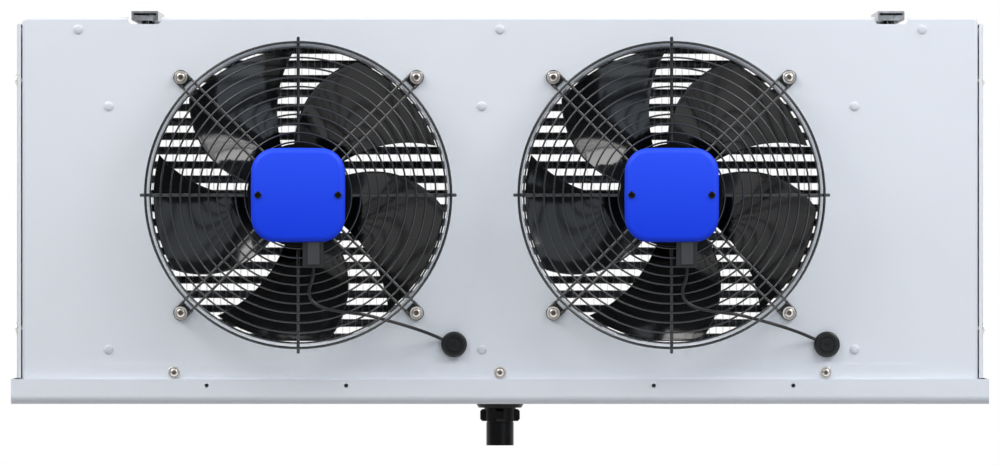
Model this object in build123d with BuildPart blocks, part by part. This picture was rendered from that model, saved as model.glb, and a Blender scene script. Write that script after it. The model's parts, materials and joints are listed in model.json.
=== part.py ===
"""Walk-in unit cooler: two 350 mm axial fans drawing air through a finned coil, over a hinged drain pan.

Millimetres. X to the right, Y to the rear, Z up. The origin is the middle of the four ceiling
hanging holes, on the top face of the two hanger rails.
"""

import os
from math import cos, radians, sin, sqrt, tan

from build123d import *

os.makedirs("parts", exist_ok=True)

# ---- sheet metal casing ----
sheet = 1.2  # every painted sheet
fold_r = 2.5  # inside radius of a fold
casing_width = 1160.0  # over the side covers
casing_depth = 400.0
panel_inset = 6.5  # fan panel's edges inside the side covers' faces
panel_corner_r = 6.0
panel_flange = 18.0  # depth of the folded edges
panel_rise = 8.4  # fan panel above the top sheet
panel_drop = 12.0  # fan panel below the coil
seat = 0.2  # play left between sheets that are fastened together
cover_flange = 4.9  # visible edge of a side cover
cover_setback = 2.0  # side cover's edge behind the panel face
end_flange = 20.0  # flanges of the end plates and of the divider
rear_flange = 15.0

# ---- rivets, bolts and screws ----
rivet_r = 5.5
rivet_height = 2.4
rivet_rim = 0.3  # straight edge below a rivet's dome
rivet_shank_r = 1.6
rivet_grip = 4.5
top_rivet_inset = 66.9  # from the panel's edges
top_rivet_drop = 14.8  # rivets below the panel's top edge
plate_rivet_drops = (107.0, 398.8)
cover_bolt_drops = (75.6, 373.2)
cover_bolt_insets = (10.0, 8.0)  # from the casing's front and rear faces
cover_bolt_r = 3.0
cover_bolt_length = 12.0
cover_bolt_flange_r = 7.1
cover_bolt_flange = 0.8
cover_bolt_hex_r = 4.8
cover_bolt_head = 2.3
foot_screw_r = 2.5
foot_screw_length = 12.0
foot_head_r = 5.2
foot_head_height = 3.5
foot_head_round = 1.6
foot_socket_r = 2.9
foot_socket_depth = 2.0
foot_nut_r = 4.6
foot_nut_height = 4.0
washer_r = 7.9
washer_sheet = 1.5
pan_screw_r = 2.4
pan_screw_length = 9.0
pan_head_r = 4.8
pan_head_height = 3.2
pan_head_round = 2.2
pan_washer_r = 7.2
pan_washer_sheet = 1.2
hole_play = 0.1
slot_play = 0.3

# ---- hanger rails ----
rail_insets = {"left": 153.5, "right": 110.4}  # from the casing's sides
rail_width = 32.0
rail_height = 11.3
rail_sheet = 2.4
rail_fold_r = 1.5
rail_end_slot = 2.6  # open slot in the closed ends, under the rail's top
rail_overhang = 4.0  # past the front and rear faces
rail_end_setback = 5.0  # closed ends behind the rail's top edge
rail_slot = 14.0  # open slot between the lips below
rail_gap = 4.3  # rail above the top sheet
hole_spacing = 300.0  # hanging holes, front to rear
hole_r = 5.5
rail_bolt_insets = (18.0, 9.0)  # rail bolts from the casing's front and rear faces
rail_bolt_r = 3.0
rail_bolt_tip = 0.5  # bolts end below the rail's top face
rail_nut_r = 5.8
rail_nut_height = 4.0
rail_spacer_r = 4.5
notch_play = 3.75
notch_chamfer = 3.2

# ---- coil ----
tube_pitch = 35.0
tubes_high = 12
coil_rows = 3
tube_r = 4.76
fin_sheet = 0.15
fin_pitch = 8.27
coil_rear_gap = 15.0  # fins to the casing's rear face
end_plate_sheet = 1.5
coil_seat = 0.4  # coil below the top sheet
fin_clear = 2.0  # first and last fin to the end plates
tube_stub = 3.0  # tubes carried on past the end plates, before their bends
end_rivet_insets = {"left": 103.6, "right": 147.7}  # from the panel's edges
divider_rivet_place = -21.8
sill_depth = 30.0
sill_upstand = 9.0

# ---- fans ----
fan_offsets = {"left": 4.05, "right": 3.6}  # from halfway between the rivets of a fan's chamber
fan_drop = 213.8  # fan axis below the panel's top edge
throat_r = 179.0
lip_r = 6.0  # bell mouth of the throat
throat_length = 42.0
blade_count = 5
tip_r = 175.0
hub_r = 62.0
blade_sheet = 3.0
blade_setback = 32.0  # mid plane of the blades behind the panel face
root_depth = 50.0  # axial depth of a blade at its root and at its tip
tip_depth = 40.0
blade_camber = 8.0
first_blade = 110.6  # degrees, leading edge of the first blade at its root
lead_sweep = (-12.5, -6.3)  # degrees from root to tip, with the height and with its square
root_chord = 55.9  # degrees
chord_growth = (0.5, -9.7)  # likewise
blade_steps = 6  # rows of points across a blade, and points in a row
blade_overlap = 4.0  # roots run into the hub
hub_length = 54.0
hub_play = 0.05

# ---- fan guards ----
guard_height = 46.0  # ring plane in front of the panel
ring_radii = [63.8, 75.0, 85.8, 96.8, 107.5, 118.7, 130.0, 141.2, 152.8, 164.9, 177.2]
outer_ring_r = 183.2
ring_wire_r = 1.1
outer_wire_r = 1.6
leg_wire_r = 1.6
spoke_wire_r = 2.0
wire_sides = 6
weld_gap = 0.05
leg_spacing = 14.8  # the two wires of a leg
leg_inner_r = 34.0
leg_bend = 4.0
leg_reach = 2.8  # past the outer ring, where a leg turns back to the panel
foot_reach = 16.8  # foot screws past the outer ring
spoke_inner_r = 63.8
spoke_reach = 6.8  # past the outer ring
centre_ring_outer_r = 57.0
centre_ring_inner_r = 30.0
centre_ring_sheet = 2.0
clamp_reach = 5.4  # past the outer ring
clamp_length = 17.4
clamp_width = 11.2
clamp_corner_r = 2.0
clamp_sheet = 1.6

# ---- fan motors ----
housing_r = 56.0
housing_length = 33.0
housing_chamfer = 3.0
cap_size = 113.0
cap_corner_r = 29.0
cap_bow = 1.2  # bulge of the cap's sides
cap_crown_r = 1300.0  # the cap's face is slightly domed
cap_depth = 20.0
cap_edge_r = 7.0
cap_wall = 2.5
cap_face = 4.0  # thickness at the middle of the cap's face
cap_seat = 0.2  # cap round the housing's base
cap_standoff = 3.0  # cap in front of the ring plane
cap_base_depth = 6.0
cap_screw_place = 48.1
cap_screw_r = 4.2
cap_screw_head = 2.0
cap_screw_shank_r = 2.0
cap_screw_sink = 1.0  # flat round each screw, below the middle of the cap's face
cap_boss_r = 5.0
neck_r = 27.0
can_outer_r = 53.0
can_inner_r = 50.0
can_length = 52.0
can_gap = 3.0  # rotor can behind the housing
can_end = 3.0
magnet_sheet = 4.0
magnet_inset = 4.0  # magnets behind the can's front edge
air_gap = 0.8
stack_length = 34.0
slot_count = 12
slot_length = 14.0
slot_width = 6.0
post_r = 14.0
post_clear = 8.0  # bearing post and the can's end wall
shaft_r = 5.0
shaft_nose = 8.0  # shaft's end behind the housing's front
shaft_bore_play = 1.5
bearing_r = 11.0
bearing_length = 9.0
bearing_inset = 12.0  # front bearing behind the housing's front
press = 0.02
running = 0.04  # radial play of the shaft in its bearings

# ---- connectors, fan cables and terminal box ----
socket_place = 18.0  # socket's axis beside the fan's
socket_width = 25.0
socket_height = 32.6
socket_drop = 54.4  # its top edge below the fan's axis
socket_depth = 11.0
socket_setback = 1.5
plug_offset = 0.6
plug_width = 14.3
plug_height = 27.0
plug_drop = 56.0
plug_step = 1.5
window_width = 26.0
window_height = 16.0
window_depth = 14.0
cable_r = 2.0
cable_bend = 18.0
cable_duct_r = 4.0
cable_rises = {"left": 21.0, "right": 9.0}  # where the cables pass the plates, above the coil's foot
cable_setback = 30.0
box_wide = 60.0
box_length = 80.0
box_height = 148.0
box_setback = 15.0  # terminal box behind the panel face
box_wall = 2.5
box_corner_r = 5.0
box_foot = 1.0  # box above the coil's foot
lid_depth = 12.0
lid_edge_r = 3.0
strip_poles = 8
strip_pitch = 12.0
strip_depth = 24.0
strip_width = 26.0
strip_offset = 10.0
well_pitch = 15.0
well_size = 7.0
well_depth = 5.0
grommet_r = 15.6
grommet_height = 7.0
grommet_edge_r = 3.0
grommet_shank_r = 10.0
grommet_lip = 3.0  # behind the panel
grommet_groove = (7.8, 9.8, 2.2)  # radii and depth of the ring groove in its face
grommet_dish = (4.2, 1.2)
grommet_dimple = (1.7, 3.5)
grommet_inset = 23.4  # from the flange at the right of a fan's chamber
grommet_drop = 179.2  # below the fan's axis

# ---- drain pan and drain ----
pan_reach = 7.0  # pan past the side covers
pan_height = 29.8
pan_front = 9.0  # pan's front wall ahead of the fan panel
pan_bend_r = 10.0
pan_rim_fold = 1.5
pan_rim_leg = 6.0
pan_rim_inset = 4.0  # folded rim ends inside the end walls
pan_rim_gap = 4.6  # rim below the coil
tab_height = 18.0
tab_inset = 77.5  # from the panel's edges
tab_slope = 16.0
tab_play = 0.3
pan_screw_inset = 104.8  # from the tab's upper corners
pan_screw_rise = 7.8  # pan screws above the rim
pan_hole_places = [-352.0, -184.6, 184.6, 352.0]
pan_hole_r = 2.5
pan_hole_drop = 7.7
hinge_places = [-380.0, 380.0]
hinge_pin_r = 2.5
hinge_pin_head = 2.0
hinge_pin_rim = 1.5
knuckle_r = 5.5
knuckle_length = 24.0
knuckle_web = 5.0
knuckle_gap = 0.5
hinge_drop = 5.4  # hinge axis below the rim
hinge_back = 6.5  # hinge axis behind the pan's rear wall
bracket_arm = 8.0
drain_r = 16.62  # G1 thread
drain_bore_r = 12.5
drain_tail = 29.5  # clear length of the spigot
drain_nut_height = 14.6
drain_nut_width = 48.0
drain_nut_wall = 2.6
drain_wing = 9.0
drain_wing_chamfer = 2.5
drain_flange = 3.0
drain_cone_top = 59.0
drain_cone_bottom = 52.0
drain_cone_height = 6.3
drain_gap = 1.6
drain_seal_sheet = 2.0
drain_seal_inset = 1.0
drain_play = 0.3

# ---- connections ----
suction_r = 14.0
liquid_r = 6.0
stub_length = 30.0
relief_width = 1.5  # groove where the threaded or plain end of a connection stops
relief_depth = 0.6
pipe_wall = 1.2
pipe_hole_play = 4.0
pipe_lip = 2.8  # lips of the pipes' grommets
lead_r = 2.5
header_place = 45.0  # header's axis outside the end plate
header_rise = 32.0  # suction pipe above the coil's foot
header_foot = 20.0
header_head = 16.0
distributor_place = 80.0
distributor_setback = 70.0  # ahead of the coil
distributor_body = ((0, 12), (14, 12), (26, 6))  # length and radius
liquid_pipe_place = 36.0
liquid_bend = 9.9
lead_circle_r = 8.0
lead_bend = 7.0
lead_knee = 16.0
lead_turn = 30.0
inlet_length = 10.0

# ---- worked out ----
panel_width = casing_width - 2 * panel_inset
pan_width = casing_width + 2 * pan_reach
tab_top = panel_width - 2 * tab_inset
tab_bottom = tab_top + 2 * tab_slope
sides = {"left": -1, "right": 1}
rail_places = {name: side * (casing_width / 2 - rail_insets[name]) for name, side in sides.items()}
end_rivet_places = {name: side * (panel_width / 2 - end_rivet_insets[name]) for name, side in sides.items()}
fan_places = {name: (end_rivet_places[name] + divider_rivet_place) / 2 + fan_offsets[name] for name in sides}
mid = -(rail_places["left"] + rail_places["right"]) / 2  # middle of the casing
front = -casing_depth / 2
rear = casing_depth / 2
top_sheet_z = -(rail_height + rail_gap)
panel_top = top_sheet_z + panel_rise
coil_top = top_sheet_z - sheet - coil_seat
coil_height = tube_pitch * tubes_high
coil_bottom = coil_top - coil_height
panel_bottom = coil_bottom - panel_drop
row_pitch = tube_pitch * sqrt(3) / 2
coil_depth = row_pitch * coil_rows
coil_rear = rear - coil_rear_gap
coil_front = coil_rear - coil_depth
left_plate_x = mid + end_rivet_places["left"] - end_flange / 2
right_plate_x = mid + end_rivet_places["right"] + end_flange / 2
fan_z = panel_top - fan_drop
leg_bend_r = outer_ring_r + leg_reach
spoke_outer_r = outer_ring_r + spoke_reach
foot_r = outer_ring_r + foot_reach
clamp_inner_r = outer_ring_r + clamp_reach
divider_x = mid + divider_rivet_place + end_flange / 2
rim_z = coil_bottom - pan_rim_gap
pan_bottom = rim_z - pan_height
pan_front_y = front - pan_front
side_x = casing_width / 2
panel_x = panel_width / 2


def facing(x, y, z):
    """A sketch plane that looks to the front: its x is X and its y is Z."""
    return Plane(origin=(x, y, z), x_dir=(1, 0, 0), z_dir=(0, -1, 0))


def half_section(x, z):
    """A sketch plane through a fan axis: its x is the radius and its y is Y."""
    return Plane(origin=(x, 0, z), x_dir=(1, 0, 0), z_dir=(0, 0, 1))


def folded(points, bend=fold_r, thickness=sheet, side=Side.LEFT):
    """The section of a folded sheet along a chain of points."""
    with BuildSketch() as section:
        with BuildLine():
            FilletPolyline(*points, radius=bend)
            offset(amount=thickness, side=side)
        make_face()
    return section.sketch


def tube_z(row, level):
    """Height of a tube; every second row is half a pitch lower."""
    return coil_top - tube_pitch * (level + 0.25 + 0.5 * (row % 2))


def write(piece, label):
    """Names a finished piece and writes its file."""
    piece.part.label = label
    export_step(piece.part, f"parts/{label}.step")


def arc_radii(points):
    """The largest arcs that the runs of a cable's route allow."""
    radii = []
    for a, b, c in zip(points, points[1:], points[2:]):
        before = Vector(b) - Vector(a)
        after = Vector(c) - Vector(b)
        turn = radians(before.get_angle(after))
        radii.append(0.45 * min(before.length, after.length) / tan(turn / 2))
    return radii


# ---- where the fastenings and the cables go ----
fan_x = {name: mid + place for name, place in fan_places.items()}
chamber_end = {"left": divider_x, "right": right_plate_x}
grommet_x = {name: x - end_flange - grommet_inset for name, x in chamber_end.items()}
grommet_z = fan_z - grommet_drop
foot_offset = foot_r / sqrt(2)
pan_screw_z = rim_z + pan_screw_rise
top_rivet_place = panel_x - top_rivet_inset
top_rivet_x = [mid - top_rivet_place, mid, mid + top_rivet_place]
pan_screw_place = tab_top / 2 - pan_screw_inset
pan_screw_places = [-pan_screw_place, 0.0, pan_screw_place]
top_rivet_z = panel_top - top_rivet_drop
plate_rivet_x = [
    mid + end_rivet_places["left"],
    mid + divider_rivet_place,
    mid + end_rivet_places["right"],
]
plate_rivet_z = [panel_top - drop for drop in plate_rivet_drops]
rivet_places = [(x, top_rivet_z) for x in top_rivet_x]
rivet_places += [(x, z) for x in plate_rivet_x for z in plate_rivet_z]
cover_bolt_z = [panel_top - drop for drop in cover_bolt_drops]
cover_bolt_y = [front + cover_bolt_insets[0], rear - cover_bolt_insets[1]]
cable_y = front + cable_setback
cable_levels = {name: coil_bottom + rise for name, rise in cable_rises.items()}
inner_x = panel_x - sheet - seat
sheet_front = front + sheet + seat
plate_rear = rear - sheet - seat
row_y = [coil_front + row_pitch * (row + 0.5) for row in range(coil_rows)]
tube_centres = [(row_y[row], tube_z(row, level)) for row in range(coil_rows) for level in range(tubes_high)]

# ---- fan panel ----

with BuildPart() as fan_panel:
    with BuildSketch(facing(mid, front, (panel_top + panel_bottom) / 2)):
        Rectangle(panel_width, panel_top - panel_bottom)
    extrude(amount=-panel_flange)
    fillet(fan_panel.edges().filter_by(Axis.Y).group_by(Axis.Z)[-1], panel_corner_r)
    fillet(fan_panel.faces().sort_by(Axis.Y)[0].edges(), fold_r + sheet)
    offset(amount=-sheet, openings=fan_panel.faces().sort_by(Axis.Y)[-1])
    # notches round the hanger rails
    notch_width = rail_width + 2 * notch_play
    for place in rail_places.values():
        with BuildSketch(facing(mid + place, front, panel_top - panel_rise)) as notch:
            Rectangle(notch_width, 2 * panel_rise, align=(Align.CENTER, Align.MIN))
            chamfer(notch.vertices().group_by(Axis.Z)[0], notch_chamfer)
        extrude(amount=-panel_flange, mode=Mode.SUBTRACT)
    # holes for the throats, the rivets, the guards' feet and the cables
    with BuildSketch(facing(0, front, 0)):
        for x in fan_x.values():
            with Locations((x, fan_z)):
                Circle(throat_r + lip_r)
                with GridLocations(2 * foot_offset, 2 * foot_offset, 2, 2):
                    Circle(foot_screw_r + hole_play)
        with Locations([(x, grommet_z) for x in grommet_x.values()]):
            Circle(grommet_shank_r + 2 * hole_play)
        with Locations(rivet_places):
            Circle(rivet_shank_r + hole_play)
    extrude(amount=-sheet, mode=Mode.SUBTRACT)
    # slots open at the bottom, so that the pan drops with its screws in place
    with BuildSketch(facing(mid, front, pan_screw_z)):
        for place in pan_screw_places:
            with Locations((place, 0)):
                Circle(pan_screw_r + slot_play)
                Rectangle(
                    2 * (pan_screw_r + slot_play),
                    pan_screw_z - panel_bottom,
                    align=(Align.CENTER, Align.MAX),
                )
    extrude(amount=-panel_flange, mode=Mode.SUBTRACT)
    # bell mouths drawn to the rear
    for x in fan_x.values():
        with BuildSketch(half_section(x, fan_z)):
            with BuildLine():
                inner = throat_r
                outer = throat_r + sheet
                Line((inner + lip_r, front), (inner + lip_r, front + sheet))
                RadiusArc((inner + lip_r, front + sheet), (outer, front + lip_r), lip_r - sheet)
                Line((outer, front + lip_r), (outer, front + throat_length))
                Line((outer, front + throat_length), (inner, front + throat_length))
                Line((inner, front + throat_length), (inner, front + lip_r))
                RadiusArc((inner, front + lip_r), (inner + lip_r, front), -lip_r)
            make_face()
        revolve(axis=Axis((x, 0, fan_z), (0, 1, 0)))
    # holes for the side covers' front bolts
    for side in sides.values():
        with BuildSketch(Plane.YZ.offset(mid + side * panel_x)):
            with Locations([(cover_bolt_y[0], z) for z in cover_bolt_z]):
                Circle(cover_bolt_r + hole_play)
        extrude(amount=-side * sheet, mode=Mode.SUBTRACT)
write(fan_panel, "fan_panel")

with BuildPart() as front_rivets:
    with BuildSketch(facing(0, front, 0)):
        with Locations(rivet_places):
            Circle(rivet_r)
    extrude(amount=rivet_height)
    fillet(front_rivets.faces().group_by(Axis.Y)[0].edges(), rivet_height - rivet_rim)
    with BuildSketch(facing(0, front, 0)):
        with Locations(rivet_places):
            Circle(rivet_shank_r)
    extrude(amount=-rivet_grip)
write(front_rivets, "front_rivets")

# ---- top sheet, side covers and rear plates ----
rail_bolt_y = (front + rail_bolt_insets[0], rear - rail_bolt_insets[1])
rail_bolt_places = [(mid + place, y) for place in rail_places.values() for y in rail_bolt_y]
top_x = inner_x - fold_r
with BuildPart() as top_panel:
    with BuildSketch(Plane.YZ.offset(mid - top_x)):
        top_edge = [
            (sheet_front, top_sheet_z - end_flange),
            (sheet_front, top_sheet_z),
            (rear, top_sheet_z),
            (rear, top_sheet_z - end_flange),
        ]
        add(folded(top_edge, side=Side.RIGHT))
    extrude(amount=2 * top_x)
    with Locations([(x, y, top_sheet_z) for x, y in rail_bolt_places]):
        Hole(rail_bolt_r + hole_play, 2 * sheet)
    with BuildSketch(facing(0, sheet_front, 0)):
        with Locations([(x, top_rivet_z) for x in top_rivet_x]):
            Circle(rivet_shank_r + hole_play)
    extrude(amount=-sheet, mode=Mode.SUBTRACT)
write(top_panel, "top_panel")

cover_top = top_sheet_z + 2 * seat
cover_bottom = rim_z + sheet
cover_front = front + cover_setback
with BuildPart() as side_cover_bolts:
    for side in sides.values():
        for y in cover_bolt_y:
            for z in cover_bolt_z:
                with Locations(Location((mid + side * side_x, y, z), (0, side * 90, 0))):
                    Cylinder(
                        cover_bolt_flange_r,
                        cover_bolt_flange,
                        align=(Align.CENTER, Align.CENTER, Align.MIN),
                    )
                    Cylinder(
                        cover_bolt_r,
                        cover_bolt_length,
                        align=(Align.CENTER, Align.CENTER, Align.MAX),
                    )
                with BuildSketch(Plane.YZ.offset(mid + side * side_x)):
                    with Locations((y, z)):
                        RegularPolygon(cover_bolt_hex_r, 6)
                extrude(amount=side * cover_bolt_head)
write(side_cover_bolts, "side_cover_bolts")

for name, side in sides.items():
    with BuildPart() as side_cover:
        centre_y = (cover_front + rear) / 2
        centre_z = (cover_top + cover_bottom) / 2
        with BuildSketch(Plane.YZ.offset(mid + side * (side_x - cover_flange))):
            with Locations((centre_y, centre_z)):
                Rectangle(rear - cover_front, cover_top - cover_bottom)
        extrude(amount=side * cover_flange)
        outer = side_cover.faces().sort_by(Axis.X)[-1 if side > 0 else 0]
        fillet(outer.edges(), fold_r)
        opening = side_cover.faces().sort_by(Axis.X)[0 if side > 0 else -1]
        offset(amount=-sheet, openings=opening)
        with BuildSketch(Plane.YZ.offset(mid + side * side_x)):
            with Locations([(y, z) for y in cover_bolt_y for z in cover_bolt_z]):
                Circle(cover_bolt_r + 2 * hole_play)
        extrude(amount=-side * sheet, mode=Mode.SUBTRACT)
    write(side_cover, f"side_cover_{name}")

suction_y = coil_rear - row_pitch / 2
suction_z = coil_bottom + header_rise
liquid_z = (coil_top + coil_bottom) / 2
header_x = right_plate_x + header_place
distributor_x = right_plate_x + distributor_place
liquid_x = distributor_x + liquid_pipe_place
plate_edges = {
    "left": (mid - inner_x, left_plate_x - end_plate_sheet - seat),
    "right": (right_plate_x + end_plate_sheet + seat, mid + inner_x),
}
for name, (low_x, high_x) in plate_edges.items():
    with BuildPart() as rear_plate:
        with BuildSketch(Plane.XY.offset(coil_bottom)):
            plate_edge = [
                (low_x, plate_rear - rear_flange),
                (low_x, plate_rear),
                (high_x, plate_rear),
                (high_x, plate_rear - rear_flange),
            ]
            add(folded(plate_edge, side=Side.RIGHT))
        extrude(amount=coil_height - fold_r)
        cover_side = sides[name]
        with BuildSketch(Plane.YZ.offset(mid + cover_side * inner_x)):
            with Locations([(cover_bolt_y[1], z) for z in cover_bolt_z]):
                Circle(cover_bolt_r + hole_play)
        extrude(amount=-cover_side * 2 * sheet, mode=Mode.SUBTRACT)
        if name == "right":
            with BuildSketch(facing(0, rear, 0)):
                with Locations((header_x, suction_z)):
                    Circle(suction_r + pipe_hole_play)
                with Locations((liquid_x, liquid_z)):
                    Circle(liquid_r + pipe_hole_play)
            extrude(amount=4 * sheet, mode=Mode.SUBTRACT)
    write(rear_plate, f"rear_plate_{name}")

# ---- hanger rails ----
rail_front = front - rail_overhang
rail_length = casing_depth + 2 * rail_overhang
for name, place in rail_places.items():
    with BuildPart() as hanger_rail:
        with Locations((mid + place, 0, -rail_height / 2)):
            Box(rail_width, rail_length - 2 * rail_end_setback, rail_height)
            fillet(hanger_rail.edges().filter_by(Axis.Y), rail_fold_r)
            Box(
                rail_width - 2 * rail_sheet,
                rail_length - 2 * rail_end_setback - 2 * rail_sheet,
                rail_height - 2 * rail_sheet,
                mode=Mode.SUBTRACT,
            )
            # the end walls stop short of the top
            with Locations((0, 0, rail_height / 2 - rail_sheet - rail_end_slot / 2)):
                Box(rail_width - 2 * rail_sheet, rail_length, rail_end_slot, mode=Mode.SUBTRACT)
        # slot between the lips below, and the top carried on past the ends
        with BuildSketch(Plane.XY.offset(-rail_height)):
            with Locations((mid + place, 0)):
                Rectangle(rail_slot, rail_length - 2 * rail_end_setback - 2 * rail_sheet)
        extrude(amount=rail_sheet, mode=Mode.SUBTRACT)
        with BuildSketch(Plane.XY):
            with Locations((mid + place, 0)):
                Rectangle(rail_width, rail_length)
        extrude(amount=-rail_sheet)
        with Locations((mid + place, 0, 0)):
            with GridLocations(1, hole_spacing, 1, 2):
                Hole(hole_r, rail_sheet)
            with Locations([(0, y) for y in rail_bolt_y]):
                Hole(rail_bolt_r + hole_play, rail_sheet)
    write(hanger_rail, f"hanger_rail_{name}")

with BuildPart() as rail_spacers:
    with BuildSketch(Plane.XY.offset(top_sheet_z)):
        with Locations(rail_bolt_places):
            Circle(rail_spacer_r)
            Circle(rail_bolt_r + 2 * hole_play, mode=Mode.SUBTRACT)
    extrude(amount=rail_height - rail_sheet + rail_gap)
write(rail_spacers, "rail_spacers")

with BuildPart() as rail_bolts:
    with BuildSketch(Plane.XY.offset(top_sheet_z - sheet)):
        with Locations(rail_bolt_places):
            RegularPolygon(rail_nut_r, 6)
    extrude(amount=-rail_nut_height)
    with BuildSketch(Plane.XY.offset(top_sheet_z - sheet)):
        with Locations(rail_bolt_places):
            Circle(rail_bolt_r)
    extrude(amount=-top_sheet_z + sheet - rail_bolt_tip)
write(rail_bolts, "rail_bolts")

# ---- end plates and divider ----
plates = {
    "coil_end_plate_left": (left_plate_x, 1, coil_rear),
    "coil_end_plate_right": (right_plate_x, -1, coil_rear),
    "fan_divider": (divider_x, -1, coil_front - sheet),
}
for label, (x, turn, back) in plates.items():
    with BuildPart() as plate:
        with BuildSketch(Plane.XY.offset(coil_bottom)):
            plate_edge = [(x + turn * end_flange, sheet_front), (x, sheet_front), (x, back)]
            inward = Side.RIGHT if turn > 0 else Side.LEFT
            add(folded(plate_edge, thickness=end_plate_sheet, side=inward))
        extrude(amount=coil_height)
        with BuildSketch(facing(0, sheet_front, 0)):
            with Locations([(x + turn * end_flange / 2, z) for z in plate_rivet_z]):
                Circle(rivet_shank_r + hole_play)
        extrude(amount=-2 * end_plate_sheet, mode=Mode.SUBTRACT)
        # room for the top sheet's front flange
        with BuildSketch(facing(x, sheet_front, coil_top)):
            Rectangle(3 * end_flange, 2 * (end_flange + sheet))
        extrude(amount=-sheet - fold_r, mode=Mode.SUBTRACT)
        if label != "coil_end_plate_right":
            with BuildSketch(Plane.YZ.offset(x)):
                with Locations([(cable_y, z) for z in cable_levels.values()]):
                    Circle(cable_duct_r)
            extrude(amount=2 * end_plate_sheet, both=True, mode=Mode.SUBTRACT)
        if label != "fan_divider":
            with BuildSketch(Plane.YZ.offset(x)):
                with Locations(tube_centres):
                    Circle(tube_r + hole_play)
            extrude(amount=2 * end_plate_sheet, both=True, mode=Mode.SUBTRACT)
    write(plate, label)

# ---- coil ----
fin_start = left_plate_x + end_plate_sheet + fin_clear
fin_run = right_plate_x - end_plate_sheet - fin_clear - fin_start
fin_count = int(fin_run / fin_pitch) + 1
fin_centre = fin_start + fin_run / 2
with BuildPart() as coil_fins:
    with Locations((fin_centre, (coil_front + coil_rear) / 2, (coil_top + coil_bottom) / 2)):
        with GridLocations(fin_pitch, 1, fin_count, 1):
            Box(fin_sheet, coil_depth, coil_height)
write(coil_fins, "coil_fins")

tube_left = left_plate_x - tube_stub
tube_right = right_plate_x + tube_stub
with BuildPart() as coil_tubes:
    with BuildSketch(Plane.YZ.offset(tube_left)):
        with Locations(tube_centres):
            Circle(tube_r)
    extrude(amount=tube_right - tube_left)
    for level in range(0, tubes_high, 2):
        bends = [(row, level, row, level + 1, tube_left, -1) for row in range(coil_rows)]
        bends += [(0, level + 1, 1, level + 1, tube_right, 1), (1, level, 2, level, tube_right, 1)]
        for row_a, level_a, row_b, level_b, x, way in bends:
            ya, za = row_y[row_a], tube_z(row_a, level_a)
            yb, zb = row_y[row_b], tube_z(row_b, level_b)
            with BuildSketch(Plane.YZ.offset(x)):
                with Locations((ya, za)):
                    Circle(tube_r)
            turn_axis = Axis((x, (ya + yb) / 2, (za + zb) / 2), (0, way * (za - zb), way * (yb - ya)))
            revolve(axis=turn_axis, revolution_arc=180)
write(coil_tubes, "coil_tubes")

# ---- suction header and liquid distributor ----
inlet_levels = range(0, tubes_high, 2)
header_top = tube_z(2, 1) + header_head
header_bottom = suction_z - header_foot
relief_y = rear + 2 * relief_width
with BuildPart() as suction_header:
    with BuildSketch(Plane.XY.offset(header_bottom)):
        with Locations((header_x, suction_y)):
            Circle(suction_r)
    extrude(amount=header_top - header_bottom)
    with BuildSketch(Plane.YZ.offset(tube_right)):
        with Locations([(row_y[2], tube_z(2, level + 1)) for level in inlet_levels]):
            Circle(tube_r)
    extrude(until=Until.NEXT)
    with BuildSketch(facing(header_x, rear + stub_length, suction_z)):
        Circle(suction_r)
    extrude(amount=rear + stub_length - suction_y)
    with BuildSketch(facing(header_x, rear + stub_length, suction_z)):
        Circle(suction_r - pipe_wall)
    extrude(amount=stub_length + suction_r, mode=Mode.SUBTRACT)
    with BuildSketch(facing(header_x, relief_y, suction_z)):
        Circle(suction_r + 1)
        Circle(suction_r - relief_depth, mode=Mode.SUBTRACT)
    extrude(amount=-relief_width, mode=Mode.SUBTRACT)
write(suction_header, "suction_header")

distributor_y = coil_front - distributor_setback
body_end = distributor_body[-1][0]
with BuildPart() as liquid_distributor:
    with BuildSketch(facing(distributor_x, distributor_y, liquid_z)):
        with BuildLine():
            Polyline((0, 0), *distributor_body, (body_end, 0), close=True)
        make_face()
    revolve(axis=Axis((distributor_x, distributor_y, liquid_z), (1, 0, 0)))
    with BuildLine():
        FilletPolyline(
            (distributor_x + body_end - liquid_r, distributor_y, liquid_z),
            (liquid_x, distributor_y, liquid_z),
            (liquid_x, rear + stub_length, liquid_z),
            radius=liquid_bend,
        )
    with BuildSketch(Plane.YZ.offset(distributor_x + body_end - liquid_r)):
        with Locations((distributor_y, liquid_z)):
            Circle(liquid_r)
    sweep()
    with BuildSketch(facing(liquid_x, rear + stub_length, liquid_z)):
        Circle(liquid_r - pipe_wall)
    extrude(amount=stub_length, mode=Mode.SUBTRACT)
    with BuildSketch(facing(liquid_x, relief_y, liquid_z)):
        Circle(liquid_r + 1)
        Circle(liquid_r - relief_depth, mode=Mode.SUBTRACT)
    extrude(amount=-relief_width, mode=Mode.SUBTRACT)
    # one lead to each circuit of the coil
    for index, level in enumerate(inlet_levels):
        angle = radians(150 - 60 * index)
        start_x = distributor_x + lead_r
        start_y = distributor_y + lead_circle_r * cos(angle)
        start_z = liquid_z + lead_circle_r * sin(angle)
        knee_x = distributor_x - lead_knee
        inlet_y = row_y[0]
        inlet_z = tube_z(0, level)
        with BuildLine():
            FilletPolyline(
                (start_x, start_y, start_z),
                (knee_x, start_y, start_z),
                (right_plate_x + lead_turn, inlet_y, inlet_z),
                (tube_right + inlet_length - lead_r, inlet_y, inlet_z),
                radius=lead_bend,
            )
        with BuildSketch(Plane.YZ.offset(start_x)):
            with Locations((start_y, start_z)):
                Circle(lead_r)
        sweep()
    with BuildSketch(Plane.YZ.offset(tube_right)):
        with Locations([(row_y[0], tube_z(0, level)) for level in inlet_levels]):
            Circle(tube_r)
    extrude(amount=inlet_length)
write(liquid_distributor, "liquid_distributor")

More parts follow.
